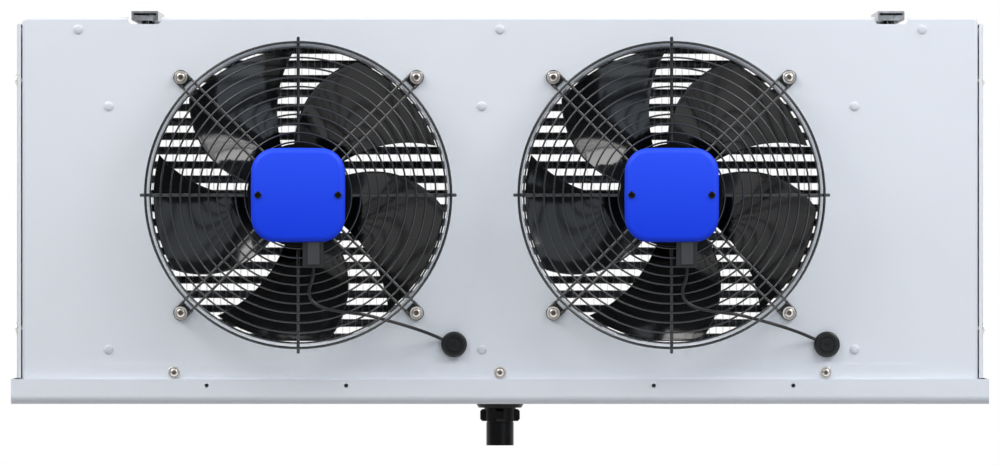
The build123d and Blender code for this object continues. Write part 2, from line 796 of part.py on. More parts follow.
with BuildPart() as pipe_grommets:
    for x, z, pipe_r in ((header_x, suction_z, suction_r), (liquid_x, liquid_z, liquid_r)):
        bore = pipe_r + hole_play
        hole_edge = pipe_r + pipe_hole_play
        lip_front = plate_rear - sheet - hole_play
        lip_rear = plate_rear + hole_play
        with BuildSketch(half_section(x, z)):
            Polygon(
                (bore, lip_front - pipe_lip),
                (hole_edge + pipe_lip, lip_front - pipe_lip),
                (hole_edge + pipe_lip, lip_front),
                (hole_edge - seat, lip_front),
                (hole_edge - seat, lip_rear),
                (hole_edge + pipe_lip, lip_rear),
                (hole_edge + pipe_lip, lip_rear + pipe_lip),
                (bore, lip_rear + pipe_lip),
                align=None,
            )
        revolve(axis=Axis((x, 0, z), (0, 1, 0)))
write(pipe_grommets, "pipe_grommets")

# ---- terminal box in the left compartment ----
box_x = left_plate_x - 2 * seat
box_mid_y = front + box_setback + box_length / 2
box_mid_z = coil_bottom + box_foot + box_height / 2
with BuildPart() as terminal_box:
    with BuildSketch(Plane.YZ.offset(box_x)):
        with Locations((box_mid_y, box_mid_z)):
            RectangleRounded(box_length, box_height, box_corner_r)
    extrude(amount=-(box_wide - lid_depth))
    offset(amount=-box_wall, openings=terminal_box.faces().sort_by(Axis.X)[0])
    with BuildSketch(Plane.YZ.offset(box_x)):
        with Locations([(cable_y, z) for z in cable_levels.values()]):
            Circle(cable_r + seat)
    extrude(amount=-box_wall, mode=Mode.SUBTRACT)
write(terminal_box, "terminal_box")

with BuildPart() as terminal_box_lid:
    with BuildSketch(Plane.YZ.offset(box_x - box_wide + lid_depth - hole_play)):
        with Locations((box_mid_y, box_mid_z)):
            RectangleRounded(box_length, box_height, box_corner_r)
    extrude(amount=-lid_depth)
    fillet(terminal_box_lid.faces().sort_by(Axis.X)[0].edges(), lid_edge_r)
    offset(amount=-box_wall, openings=terminal_box_lid.faces().sort_by(Axis.X)[-1])
write(terminal_box_lid, "terminal_box_lid")

strip_face = box_x - box_wall - strip_depth - seat
strip_y = box_mid_y + strip_offset
strip_z = box_mid_z + strip_offset
with BuildPart() as terminal_strip:
    with Locations((strip_face + strip_depth / 2, strip_y, strip_z)):
        Box(strip_depth, strip_width, strip_poles * strip_pitch)
    with BuildSketch(Plane.YZ.offset(strip_face)):
        with Locations((strip_y, strip_z)):
            with GridLocations(well_pitch, strip_pitch, 2, strip_poles):
                Rectangle(well_size, well_size)
    extrude(amount=well_depth, mode=Mode.SUBTRACT)
write(terminal_strip, "terminal_strip")

# ---- drain pan ----
pan_x = pan_width / 2
hinge_y = rear + hinge_back
hinge_z = rim_z - hinge_drop
with BuildPart() as drain_pan:
    with BuildSketch(Plane.XY.offset(rim_z)):
        with Locations((mid, (pan_front_y + rear) / 2)):
            Rectangle(pan_width, rear - pan_front_y)
    extrude(amount=-pan_height)
    fillet(drain_pan.faces().sort_by(Axis.Z)[0].edges().filter_by(Axis.X), pan_bend_r)
    offset(amount=-sheet, openings=drain_pan.faces().sort_by(Axis.Z)[-1])
    # rim folded in to the panel, with the tab that is screwed to it
    tab_front = front - tab_play - sheet
    with BuildSketch(Plane.YZ.offset(mid - pan_x + pan_rim_inset)):
        rim_edge = [
            (pan_front_y, rim_z - pan_rim_leg),
            (pan_front_y, rim_z),
            (tab_front + sheet, rim_z),
        ]
        add(folded(rim_edge, bend=pan_rim_fold, side=Side.RIGHT))
    extrude(amount=pan_width - 2 * pan_rim_inset)
    with BuildSketch(facing(mid, tab_front, rim_z - sheet)):
        Polygon(
            (-tab_bottom / 2, 0),
            (tab_bottom / 2, 0),
            (tab_top / 2, tab_height + sheet),
            (-tab_top / 2, tab_height + sheet),
            align=None,
        )
    extrude(amount=-sheet)
    with BuildSketch(facing(mid, pan_front_y, 0)):
        with Locations([(place, rim_z - pan_hole_drop) for place in pan_hole_places]):
            Circle(pan_hole_r)
    extrude(amount=-sheet, mode=Mode.SUBTRACT)
    with BuildSketch(facing(mid, tab_front, 0)):
        with Locations([(place, pan_screw_z) for place in pan_screw_places]):
            Circle(pan_screw_r + hole_play)
    extrude(amount=-sheet, mode=Mode.SUBTRACT)
    # knuckles behind the rear wall
    for place in hinge_places:
        with BuildSketch(Plane.YZ.offset(mid + place - knuckle_length / 2)):
            with Locations((hinge_y, hinge_z)):
                Circle(knuckle_r)
                Rectangle(hinge_back + sheet / 2, knuckle_web, align=(Align.MAX, Align.CENTER))
                Circle(hinge_pin_r + running, mode=Mode.SUBTRACT)
        extrude(amount=knuckle_length)
    with Locations((mid, 0, pan_bottom)):
        Hole(drain_r + drain_play, 2 * sheet)
write(drain_pan, "drain_pan")

with BuildPart() as pan_screws:
    with BuildSketch(facing(mid, tab_front, pan_screw_z)):
        with Locations([(place, 0) for place in pan_screw_places]):
            Circle(pan_washer_r)
    extrude(amount=pan_washer_sheet)
    with BuildSketch(facing(mid, tab_front - pan_washer_sheet, pan_screw_z)):
        with Locations([(place, 0) for place in pan_screw_places]):
            Circle(pan_head_r)
    extrude(amount=pan_head_height)
    fillet(pan_screws.faces().group_by(Axis.Y)[0].edges(), pan_head_round)
    with BuildSketch(facing(mid, tab_front, pan_screw_z)):
        with Locations([(place, 0) for place in pan_screw_places]):
            Circle(pan_screw_r)
    extrude(amount=-pan_screw_length)
write(pan_screws, "pan_screws")

# ---- rear sill, hinge brackets and pins ----
sill_y = plate_rear - sheet - seat
sill_z = coil_bottom - seat - sheet
with BuildPart() as rear_sill:
    with BuildSketch(Plane.YZ.offset(left_plate_x)):
        sill_edge = [(sill_y, sill_z + sill_upstand), (sill_y, sill_z), (sill_y - sill_depth, sill_z)]
        add(folded(sill_edge, side=Side.RIGHT))
    extrude(amount=right_plate_x - left_plate_x)
write(rear_sill, "rear_sill")

with BuildPart() as pan_hinge_brackets:
    for place in hinge_places:
        for way in (-1, 1):
            start = mid + place + way * (knuckle_length / 2 + knuckle_gap)
            with BuildSketch(Plane.YZ.offset(start)):
                with BuildLine():
                    Polyline(
                        (hinge_y + knuckle_r, hinge_z),
                        (hinge_y + knuckle_r, sill_z - seat),
                        (sill_y - sill_depth, sill_z - seat),
                        (sill_y - sill_depth, rim_z + knuckle_gap),
                        (hinge_y - knuckle_r, rim_z + knuckle_gap),
                        (hinge_y - knuckle_r, hinge_z),
                    )
                    RadiusArc((hinge_y - knuckle_r, hinge_z), (hinge_y + knuckle_r, hinge_z), -knuckle_r)
                make_face()
                with Locations((hinge_y, hinge_z)):
                    Circle(hinge_pin_r + running, mode=Mode.SUBTRACT)
            extrude(amount=way * bracket_arm)
write(pan_hinge_brackets, "pan_hinge_brackets")

with BuildPart() as pan_hinge_pins:
    pin_length = knuckle_length + 2 * (bracket_arm + knuckle_gap + hinge_pin_rim)
    for place in hinge_places:
        with BuildSketch(Plane.YZ.offset(mid + place - pin_length / 2)):
            with Locations((hinge_y, hinge_z)):
                Circle(hinge_pin_r)
        extrude(amount=pin_length)
        with BuildSketch(Plane.YZ.offset(mid + place - pin_length / 2)):
            with Locations((hinge_y, hinge_z)):
                Circle(hinge_pin_r + hinge_pin_rim)
        extrude(amount=-hinge_pin_head)
write(pan_hinge_pins, "pan_hinge_pins")

# ---- drain spigot ----
inside_z = pan_bottom + sheet
flange_z = inside_z + drain_seal_sheet + hole_play
tail_end = pan_bottom - drain_cone_height - drain_gap - drain_nut_height - drain_tail
with BuildPart() as drain_spigot:
    with BuildSketch(Plane.XY.offset(flange_z)):
        with Locations((mid, 0)):
            Circle(drain_cone_top / 2)
    extrude(amount=drain_flange)
    chamfer(drain_spigot.edges().sort_by(Axis.Z)[-1], drain_flange / 2)
    with BuildSketch(Plane.XY.offset(flange_z)):
        with Locations((mid, 0)):
            Circle(drain_r)
    extrude(amount=tail_end - flange_z)
    with BuildSketch(Plane.XY.offset(tail_end)):
        with Locations((mid, 0)):
            Circle(drain_bore_r)
    extrude(amount=2 * drain_nut_width, mode=Mode.SUBTRACT)
    with BuildSketch(Plane.XY.offset(tail_end + drain_tail)):
        with Locations((mid, 0)):
            Circle(drain_r + 1)
            Circle(drain_r - relief_depth, mode=Mode.SUBTRACT)
    extrude(amount=-relief_width, mode=Mode.SUBTRACT)
write(drain_spigot, "drain_spigot")

with BuildPart() as drain_seal:
    with BuildSketch(Plane.XY.offset(inside_z + hole_play / 2)):
        with Locations((mid, 0)):
            Circle(drain_cone_top / 2 - drain_seal_inset)
            Circle(drain_r + drain_play, mode=Mode.SUBTRACT)
    extrude(amount=drain_seal_sheet)
write(drain_seal, "drain_seal")

with BuildPart() as drain_washer:
    with BuildSketch(Plane.XY.offset(pan_bottom - hole_play / 2)):
        with Locations((mid, 0)):
            Circle(drain_cone_top / 2)
    with BuildSketch(Plane.XY.offset(pan_bottom - hole_play / 2 - drain_cone_height)):
        with Locations((mid, 0)):
            Circle(drain_cone_bottom / 2)
    loft()
    with BuildSketch(Plane.XY.offset(pan_bottom)):
        with Locations((mid, 0)):
            Circle(drain_r + drain_play)
    extrude(amount=-2 * drain_cone_height, mode=Mode.SUBTRACT)
write(drain_washer, "drain_washer")

nut_top = pan_bottom - drain_cone_height - hole_play
wing_top = nut_top - drain_gap
wing_middle = wing_top - drain_nut_height / 2
with BuildPart() as drain_nut:
    with BuildSketch(Plane.XY.offset(nut_top)):
        with Locations((mid, 0)):
            Circle(drain_r + drain_nut_wall)
    extrude(amount=-(drain_gap + drain_nut_height))
    # four wings to turn it by
    wing_origin = (mid, 0, wing_middle)
    for across in (facing(*wing_origin), Plane(origin=wing_origin, x_dir=(0, 1, 0), z_dir=(1, 0, 0))):
        with BuildSketch(across) as wing:
            Rectangle(drain_nut_width, drain_nut_height)
            chamfer(wing.vertices().group_by(Axis.Z)[0], drain_wing_chamfer)
        extrude(amount=drain_wing / 2, both=True)
    with BuildSketch(Plane.XY.offset(nut_top)):
        with Locations((mid, 0)):
            Circle(drain_r + hole_play / 2)
    extrude(amount=-(drain_gap + drain_nut_height), mode=Mode.SUBTRACT)
write(drain_nut, "drain_nut")

# ---- the two fans ----
ring_y = front - guard_height
leg_y = ring_y + ring_wire_r + leg_wire_r + weld_gap
spoke_y = ring_y + ring_wire_r + spoke_wire_r + weld_gap
outer_ring_y = leg_y - leg_wire_r - outer_wire_r - weld_gap
centre_ring_y = spoke_y + spoke_wire_r + weld_gap
housing_front = centre_ring_y + centre_ring_sheet + weld_gap
housing_rear = housing_front + housing_length
cap_rear = ring_y - cap_standoff
can_front = housing_rear + can_gap
can_rear = can_front + can_length
stack_r = can_inner_r - magnet_sheet - air_gap
blade_y = front + blade_setback
foot_y = front - leg_wire_r - hole_play
washer_y = foot_y - leg_wire_r - hole_play
cap_front = cap_rear - cap_depth
post_end = can_rear - post_clear
base_y = cap_rear - hole_play


def lead_angle(share):
    """Sweep of the leading edge from the root (0) to the tip (1), in degrees."""
    return first_blade + lead_sweep[0] * share + lead_sweep[1] * share**2


def chord_angle(share):
    """Degrees of arc that a blade covers at a share of its height."""
    return root_chord + chord_growth[0] * share + chord_growth[1] * share**2


def blade_point(x, share, along, turn):
    """A point of a blade's middle surface, along from the trailing edge (0) to the leading (1)."""
    root_r = hub_r - blade_overlap
    radius = root_r + (tip_r - root_r) * share
    angle = radians(lead_angle(share) + (1 - along) * chord_angle(share) + turn)
    depth = root_depth + (tip_depth - root_depth) * share
    y = blade_y + depth * (along - 0.5) + 4 * blade_camber * along * (1 - along)
    return (x + radius * cos(angle), y, fan_z + radius * sin(angle))


def cap_outline(x, y, size, corner_r):
    """The outline of the motor cap: a rounded square with bowed sides."""
    half = size / 2 - cap_bow
    with BuildSketch(facing(x, y, fan_z)) as outline:
        with BuildLine():
            SagittaArc((half, -half), (half, half), -cap_bow)
            SagittaArc((half, half), (-half, half), -cap_bow)
            SagittaArc((-half, half), (-half, -half), -cap_bow)
            SagittaArc((-half, -half), (half, -half), -cap_bow)
        make_face()
        fillet(outline.vertices(), corner_r)
    return outline.sketch


def wire_path(points, radii, wire_r):
    """A round-cornered wire with a six-sided section, as a solid."""
    with BuildPart() as wire:
        with BuildLine() as path:
            FilletPolyline(*points, radius=radii)
        with BuildSketch(Plane(origin=path.line @ 0, z_dir=path.line % 0)):
            RegularPolygon(wire_r, wire_sides)
        sweep()
    return wire.part


for name, x in fan_x.items():
    axis = Axis((x, 0, fan_z), (0, 1, 0))

    with BuildPart() as impeller:
        with BuildSketch(facing(x, blade_y - hub_length / 2, fan_z)):
            Circle(hub_r)
            Circle(can_outer_r + hub_play, mode=Mode.SUBTRACT)
        extrude(amount=-hub_length)
        for blade in range(blade_count):
            turn = -360 / blade_count * blade
            rows = []
            for step in range(blade_steps + 1):
                share = step / blade_steps
                along = [place / blade_steps for place in range(blade_steps + 1)]
                rows.append([blade_point(x, share, place, turn) for place in along])
            thicken(Face.make_surface_from_array_of_points(rows), amount=blade_sheet / 2, both=True)
    write(impeller, f"impeller_{name}")

    with BuildPart() as rotor:
        with BuildSketch(half_section(x, fan_z)):
            Polygon(
                (can_inner_r, can_front),
                (can_outer_r, can_front),
                (can_outer_r, can_rear),
                (0, can_rear),
                (0, housing_front + shaft_nose),
                (shaft_r, housing_front + shaft_nose),
                (shaft_r, can_rear - can_end),
                (can_inner_r, can_rear - can_end),
                align=None,
            )
        revolve(axis=axis)
    write(rotor, f"rotor_{name}")

    with BuildPart() as magnets:
        with BuildSketch(facing(x, can_front + magnet_inset, fan_z)):
            Circle(can_inner_r - press)
            Circle(can_inner_r - magnet_sheet, mode=Mode.SUBTRACT)
        extrude(amount=-stack_length - magnet_inset)
    write(magnets, f"rotor_magnets_{name}")

    bearing_faces = [housing_front + bearing_inset, post_end - bearing_length]
    with BuildPart() as motor_housing:
        # drum behind the guard, neck through its centre ring, and base under the cap
        with BuildSketch(facing(x, housing_front, fan_z)):
            Circle(housing_r)
        extrude(amount=-housing_length)
        chamfer(motor_housing.edges().sort_by(Axis.Y)[-1], housing_chamfer)
        with BuildSketch(facing(x, housing_front, fan_z)):
            Circle(neck_r)
        extrude(amount=housing_front - base_y)
        inset = cap_wall + cap_seat
        extrude(cap_outline(x, base_y, cap_size - 2 * inset, cap_corner_r - inset), amount=cap_base_depth)
        # bearing post to the rear
        with BuildSketch(facing(x, housing_rear, fan_z)):
            Circle(post_r)
        extrude(amount=-(post_end - housing_rear))
        with BuildSketch(facing(x, housing_front + shaft_nose - 2 * seat, fan_z)):
            Circle(shaft_r + shaft_bore_play)
        extrude(amount=-(can_rear - housing_front), mode=Mode.SUBTRACT)
        for face_y in bearing_faces:
            with BuildSketch(facing(x, face_y, fan_z)):
                Circle(bearing_r)
            extrude(amount=-bearing_length, mode=Mode.SUBTRACT)
        with BuildSketch(facing(x, base_y - cap_base_depth, fan_z)):
            with Locations((-cap_screw_place, 0), (cap_screw_place, 0)):
                Circle(cap_screw_shank_r + hole_play)
        extrude(amount=-cap_base_depth, mode=Mode.SUBTRACT)
    write(motor_housing, f"motor_housing_{name}")

    with BuildPart() as bearings:
        for face_y in bearing_faces:
            with BuildSketch(facing(x, face_y + press, fan_z)):
                Circle(bearing_r - press)
                Circle(shaft_r + running, mode=Mode.SUBTRACT)
            extrude(amount=-(bearing_length - 2 * press))
    write(bearings, f"bearings_{name}")

    with BuildPart() as stator:
        with BuildSketch(facing(x, can_front + magnet_inset + magnet_inset / 2, fan_z)):
            Circle(stack_r)
            with PolarLocations(stack_r - slot_length + magnet_sheet, slot_count):
                SlotOverall(slot_length, slot_width, mode=Mode.SUBTRACT)
            Circle(post_r + hub_play, mode=Mode.SUBTRACT)
        extrude(amount=-stack_length)
    write(stator, f"stator_{name}")

    with BuildPart() as motor_cap:
        extrude(cap_outline(x, cap_rear, cap_size, cap_corner_r), amount=cap_depth)
        with Locations((x, cap_front + cap_crown_r, fan_z)):
            Sphere(cap_crown_r, mode=Mode.INTERSECT)
        fillet(motor_cap.faces().sort_by(Axis.Y)[0].edges(), cap_edge_r)
        # hollow in two steps, so that the wall keeps its thickness behind the rounded edge
        for inset, depth in ((cap_wall, cap_depth - cap_edge_r), (cap_wall + sheet, cap_depth - cap_face)):
            hollow = cap_outline(x, cap_rear, cap_size - 2 * inset, cap_corner_r - inset)
            extrude(hollow, amount=depth, mode=Mode.SUBTRACT)
        boss_y = base_y - cap_base_depth - hole_play
        for place in (-cap_screw_place, cap_screw_place):
            with BuildSketch(facing(x, boss_y, fan_z)):
                with Locations((place, 0)):
                    Circle(cap_boss_r)
            extrude(amount=boss_y - cap_front - cap_screw_sink)
            with BuildSketch(facing(x, cap_front, fan_z)):
                with Locations((place, 0)):
                    Circle(cap_screw_r + seat)
            extrude(amount=-cap_screw_sink, mode=Mode.SUBTRACT)
            with BuildSketch(facing(x, cap_rear, fan_z)):
                with Locations((place, 0)):
                    Circle(cap_screw_shank_r + 2 * hole_play)
            extrude(amount=cap_depth, mode=Mode.SUBTRACT)
        # window for the socket
        with BuildSketch(facing(x, cap_rear, fan_z - cap_size / 2)):
            with Locations((socket_place, 0)):
                Rectangle(window_width, window_height)
        extrude(amount=window_depth, mode=Mode.SUBTRACT)
    write(motor_cap, f"motor_cap_{name}")

    with BuildPart() as cap_screws:
        seat_y = cap_front + cap_screw_sink
        with BuildSketch(facing(x, seat_y, fan_z)):
            with Locations((-cap_screw_place, 0), (cap_screw_place, 0)):
                Circle(cap_screw_r)
        extrude(amount=cap_screw_head)
        fillet(cap_screws.faces().group_by(Axis.Y)[0].edges(), cap_screw_head / 2)
        with BuildSketch(facing(x, seat_y, fan_z)):
            with Locations((-cap_screw_place, 0), (cap_screw_place, 0)):
                Circle(cap_screw_shank_r)
        extrude(amount=-(base_y - seat_y - 2 * seat))
    write(cap_screws, f"cap_screws_{name}")

    with BuildPart() as connector:
        socket_y = cap_rear - socket_setback
        with BuildSketch(facing(x + socket_place, socket_y, fan_z - socket_drop)):
            Rectangle(socket_width, socket_height, align=(Align.CENTER, Align.MAX))
        extrude(amount=socket_depth)
        fillet(connector.edges().filter_by(Axis.Y), plug_step)
        with BuildSketch(facing(x + socket_place + plug_offset, socket_y - socket_depth, fan_z - plug_drop)):
            Rectangle(plug_width, plug_height, align=(Align.CENTER, Align.MAX))
        extrude(amount=plug_step)
    write(connector, f"cable_connector_{name}")

    with BuildPart() as guard:
        for radius in ring_radii + [outer_ring_r]:
            wire_r = ring_wire_r if radius < outer_ring_r else outer_wire_r
            wire_y = ring_y if radius < outer_ring_r else outer_ring_y
            with BuildSketch(half_section(x, fan_z)):
                with Locations((radius, wire_y)):
                    RegularPolygon(wire_r, wire_sides)
            revolve(axis=axis)
        with BuildSketch(facing(x, centre_ring_y, fan_z)):
            Circle(centre_ring_outer_r)
            Circle(centre_ring_inner_r, mode=Mode.SUBTRACT)
        extrude(amount=-centre_ring_sheet)
        for quarter in range(4):
            # a single spoke, and a leg of two wires that loops round its foot screw
            angle = radians(90 * quarter)
            out = Vector(cos(angle), 0, sin(angle))
            centre = Vector(x, 0, fan_z)
            start = centre + out * spoke_inner_r + Vector(0, spoke_y, 0)
            with BuildSketch(Plane(origin=start, z_dir=out)):
                RegularPolygon(spoke_wire_r, wire_sides)
            extrude(amount=spoke_outer_r - spoke_inner_r)
            angle = radians(90 * quarter + 45)
            out = Vector(cos(angle), 0, sin(angle))
            across = Vector(-sin(angle), 0, cos(angle)) * leg_spacing / 2
            half = [
                centre + out * leg_inner_r + Vector(0, leg_y, 0),
                centre + out * (leg_bend_r - 1) + Vector(0, leg_y, 0),
                centre + out * (leg_bend_r + 1) + Vector(0, foot_y, 0),
                centre + out * (foot_r + leg_spacing / 2) + Vector(0, foot_y, 0),
            ]
            route = [point - across for point in half] + [point + across for point in reversed(half)]
            loop_r = leg_spacing / 2 - press
            add(wire_path(route, [leg_bend, leg_bend, loop_r, loop_r, leg_bend, leg_bend], leg_wire_r))
            # clamp plate between the wires, under the foot screw
            plate_origin = centre + out * foot_r + Vector(0, foot_y + leg_wire_r - hole_play, 0)
            with BuildSketch(Plane(origin=plate_origin, x_dir=out, z_dir=(0, -1, 0))):
                with Locations((clamp_inner_r + clamp_length / 2 - foot_r, 0)):
                    RectangleRounded(clamp_length, clamp_width, clamp_corner_r)
                Circle(foot_screw_r + hole_play, mode=Mode.SUBTRACT)
            extrude(amount=clamp_sheet)
    write(guard, f"guard_{name}")

    with BuildPart() as guard_screws:
        head_y = washer_y - washer_sheet
        with BuildSketch(facing(x, washer_y, fan_z)):
            with GridLocations(2 * foot_offset, 2 * foot_offset, 2, 2):
                Circle(washer_r)
        extrude(amount=washer_sheet)
        with BuildSketch(facing(x, head_y, fan_z)):
            with GridLocations(2 * foot_offset, 2 * foot_offset, 2, 2):
                Circle(foot_head_r)
        extrude(amount=foot_head_height)
        fillet(guard_screws.faces().group_by(Axis.Y)[0].edges(), foot_head_round)
        with BuildSketch(facing(x, head_y - foot_head_height, fan_z)):
            with GridLocations(2 * foot_offset, 2 * foot_offset, 2, 2):
                RegularPolygon(foot_socket_r, 6)
        extrude(amount=-foot_socket_depth, mode=Mode.SUBTRACT)
        with BuildSketch(facing(x, washer_y, fan_z)):
            with GridLocations(2 * foot_offset, 2 * foot_offset, 2, 2):
                Circle(foot_screw_r)
        extrude(amount=-foot_screw_length)
        with BuildSketch(facing(x, front + sheet + hole_play, fan_z)):
            with GridLocations(2 * foot_offset, 2 * foot_offset, 2, 2):
                RegularPolygon(foot_nut_r, 6)
        extrude(amount=-foot_nut_height)
    write(guard_screws, f"guard_screws_{name}")

    # from the connector over the guard's middle, in behind its outer rings, to the grommet
    reach = grommet_x[name] - x
    outside = [
        (18.5, cap_rear - 7.0, -87.1),
        (18.5, cap_rear - 7.0, -99.0),
        (11.5, cap_rear - 6.0, -116.0),
        (17.4, cap_rear - 4.5, -129.5),
        (34.0, cap_rear - 3.5, -136.5),
        (0.306 * reach, cap_rear - 3.0, -140.5),
        (0.429 * reach, cap_rear - 1.6, -143.0),
        (0.536 * reach, cap_rear + 8.0, -148.5),
        (0.675 * reach, cap_rear + 16.0, -155.5),
        (0.804 * reach, cap_rear + 30.0, -163.5),
        (0.879 * reach, front - 6.0, -169.2),
        (0.9245 * reach, front - 4.0, -173.0),
    ]
    outside = [(x + px, py, fan_z + pz) for px, py, pz in outside]
    entry = Plane(origin=outside[-1], z_dir=Vector(outside[-1]) - Vector(outside[-2]))
    centre_x = grommet_x[name]
    with BuildPart() as grommet:
        seat_y = front - hole_play
        face_y = seat_y - grommet_height
        with BuildSketch(facing(centre_x, seat_y, grommet_z)):
            Circle(grommet_r)
        extrude(amount=grommet_height)
        fillet(grommet.edges().sort_by(Axis.Y)[0], grommet_edge_r)
        with BuildSketch(facing(centre_x, seat_y, grommet_z)):
            Circle(grommet_shank_r)
        extrude(amount=-sheet - slot_play)
        with BuildSketch(facing(centre_x, front + sheet + seat, grommet_z)):
            Circle(grommet_shank_r + grommet_lip)
        extrude(amount=-grommet_lip)
        with BuildSketch(facing(centre_x, face_y, grommet_z)):
            Circle(grommet_groove[1])
            Circle(grommet_groove[0], mode=Mode.SUBTRACT)
        extrude(amount=-grommet_groove[2], mode=Mode.SUBTRACT)
        for radius, depth in (grommet_dish, grommet_dimple):
            with BuildSketch(facing(centre_x, face_y, grommet_z)):
                Circle(radius)
            extrude(amount=-depth, mode=Mode.SUBTRACT)
        with BuildSketch(entry.offset(seat / 2)):
            Circle(cable_r + hole_play)
        extrude(amount=-grommet_r, mode=Mode.SUBTRACT)
    write(grommet, f"cable_grommet_{name}")

    # from the grommet along the foot of the panel to the terminal box
    level = cable_levels[name]
    inside = [
        (centre_x, front + sheet + grommet_lip + slot_play, grommet_z),
        (centre_x, front + 22.0, grommet_z),
        (centre_x - 24, cable_y, level),
        (box_x - box_wall - 4, cable_y, level),
    ]
    with BuildPart() as cable:
        for route in (outside, inside):
            radii = arc_radii(route)
            print(f"fan_cable_{name} radii", [round(r, 1) for r in radii])
            radii = [min(r, cable_bend) for r in radii]
            with BuildLine() as path:
                FilletPolyline(*route, radius=radii)
            with BuildSketch(Plane(origin=path.line @ 0, z_dir=path.line % 0)):
                Circle(cable_r)
            sweep(path=path.line)
    print(f"fan_cable_{name} volume", round(cable.part.volume))
    write(cable, f"fan_cable_{name}")
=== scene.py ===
import json
from math import cos, pi, radians, sin

import bmesh
import bpy
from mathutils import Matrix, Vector

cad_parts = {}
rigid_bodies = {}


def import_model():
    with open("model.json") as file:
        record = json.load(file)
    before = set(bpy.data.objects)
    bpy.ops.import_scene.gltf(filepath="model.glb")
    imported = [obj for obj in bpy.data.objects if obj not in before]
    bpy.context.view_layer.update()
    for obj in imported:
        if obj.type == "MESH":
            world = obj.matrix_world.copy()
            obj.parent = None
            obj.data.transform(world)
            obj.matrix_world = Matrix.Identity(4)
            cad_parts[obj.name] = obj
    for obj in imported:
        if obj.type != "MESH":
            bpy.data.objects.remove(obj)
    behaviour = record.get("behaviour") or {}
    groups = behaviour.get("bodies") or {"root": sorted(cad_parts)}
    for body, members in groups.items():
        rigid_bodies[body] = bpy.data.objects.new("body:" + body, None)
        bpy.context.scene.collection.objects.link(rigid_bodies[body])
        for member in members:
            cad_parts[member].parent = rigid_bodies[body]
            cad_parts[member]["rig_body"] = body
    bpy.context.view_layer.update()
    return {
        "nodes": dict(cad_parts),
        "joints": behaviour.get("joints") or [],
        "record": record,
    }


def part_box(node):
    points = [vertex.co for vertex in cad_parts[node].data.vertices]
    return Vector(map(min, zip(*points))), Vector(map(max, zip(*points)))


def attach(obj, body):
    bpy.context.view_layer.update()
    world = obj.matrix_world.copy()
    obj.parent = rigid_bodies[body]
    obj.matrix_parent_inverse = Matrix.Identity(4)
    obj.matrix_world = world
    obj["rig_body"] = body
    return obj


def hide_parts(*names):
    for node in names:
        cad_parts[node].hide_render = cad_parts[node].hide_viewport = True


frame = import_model()
scene = bpy.context.scene
nodes = frame["nodes"]
slotOf = {row["node"]: row["material_slot"] for row in frame["record"]["subparts"]}
fanJoints = [joint for joint in frame["joints"] if "fan_spin" in joint["name"]]
fanAxis = {joint["name"].split("_")[-1]: Vector(joint["pos_m"]) for joint in fanJoints}
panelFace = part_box("fan_panel")[0].y
mergeGap = 0.000002  # corners of a solid's triangles nearer than this are one
turnedEdge = 35.0  # degrees between faces from which an edge of a turned or swept piece stays sharp


# materials

def newMaterial(name):
    material = bpy.data.materials.new(name)
    material.use_nodes = True
    tree = material.node_tree
    return material, tree, tree.nodes["Principled BSDF"]


def objectCoords(tree):
    return tree.nodes.new("ShaderNodeTexCoord").outputs["Object"]


def noiseOn(tree, coords, scale, detail=3.0):
    noise = tree.nodes.new("ShaderNodeTexNoise")
    noise.inputs["Scale"].default_value = scale
    noise.inputs["Detail"].default_value = detail
    tree.links.new(coords, noise.inputs["Vector"])
    return noise.outputs["Fac"]


def colourRamp(tree, source, stops):
    made = tree.nodes.new("ShaderNodeValToRGB")
    while len(made.color_ramp.elements) < len(stops):
        made.color_ramp.elements.new(0.5)
    for element, (place, colour) in zip(made.color_ramp.elements, stops):
        element.position = place
        element.color = (*colour, 1)
    tree.links.new(source, made.inputs["Fac"])
    return made.outputs["Color"]


def mapRange(tree, source, low, high, fromLow=0.0, fromHigh=1.0):
    made = tree.nodes.new("ShaderNodeMapRange")
    made.inputs["From Min"].default_value = fromLow
    made.inputs["From Max"].default_value = fromHigh
    made.inputs["To Min"].default_value = low
    made.inputs["To Max"].default_value = high
    tree.links.new(source, made.inputs["Value"])
    return made.outputs["Result"]


def addBump(tree, shader, height, strength, distance):
    bump = tree.nodes.new("ShaderNodeBump")
    bump.inputs["Strength"].default_value = strength
    bump.inputs["Distance"].default_value = distance
    tree.links.new(height, bump.inputs["Height"])
    tree.links.new(bump.outputs["Normal"], shader.inputs["Normal"])


def shaded(colour, share):
    return tuple(min(1.0, c * share) for c in colour)


def grainyFinish(name, colour, roughness, metal=0.0, grain=900.0, depth=0.1, spread=0.05, tint=0.03,
                 specular=0.5):
    # fine grain in the gloss and the relief, and a slow drift in the colour
    material, tree, shader = newMaterial(name)
    coords = objectCoords(tree)
    shader.inputs["Metallic"].default_value = metal
    shader.inputs["Specular IOR Level"].default_value = specular
    fine = noiseOn(tree, coords, grain)
    broad = noiseOn(tree, coords, 9.0)
    stops = [(0.3, shaded(colour, 1 - tint)), (0.7, shaded(colour, 1 + tint))]
    tree.links.new(colourRamp(tree, broad, stops), shader.inputs["Base Color"])
    tree.links.new(mapRange(tree, fine, roughness - spread, roughness + spread), shader.inputs["Roughness"])
    addBump(tree, shader, fine, depth, 0.0003)
    return material


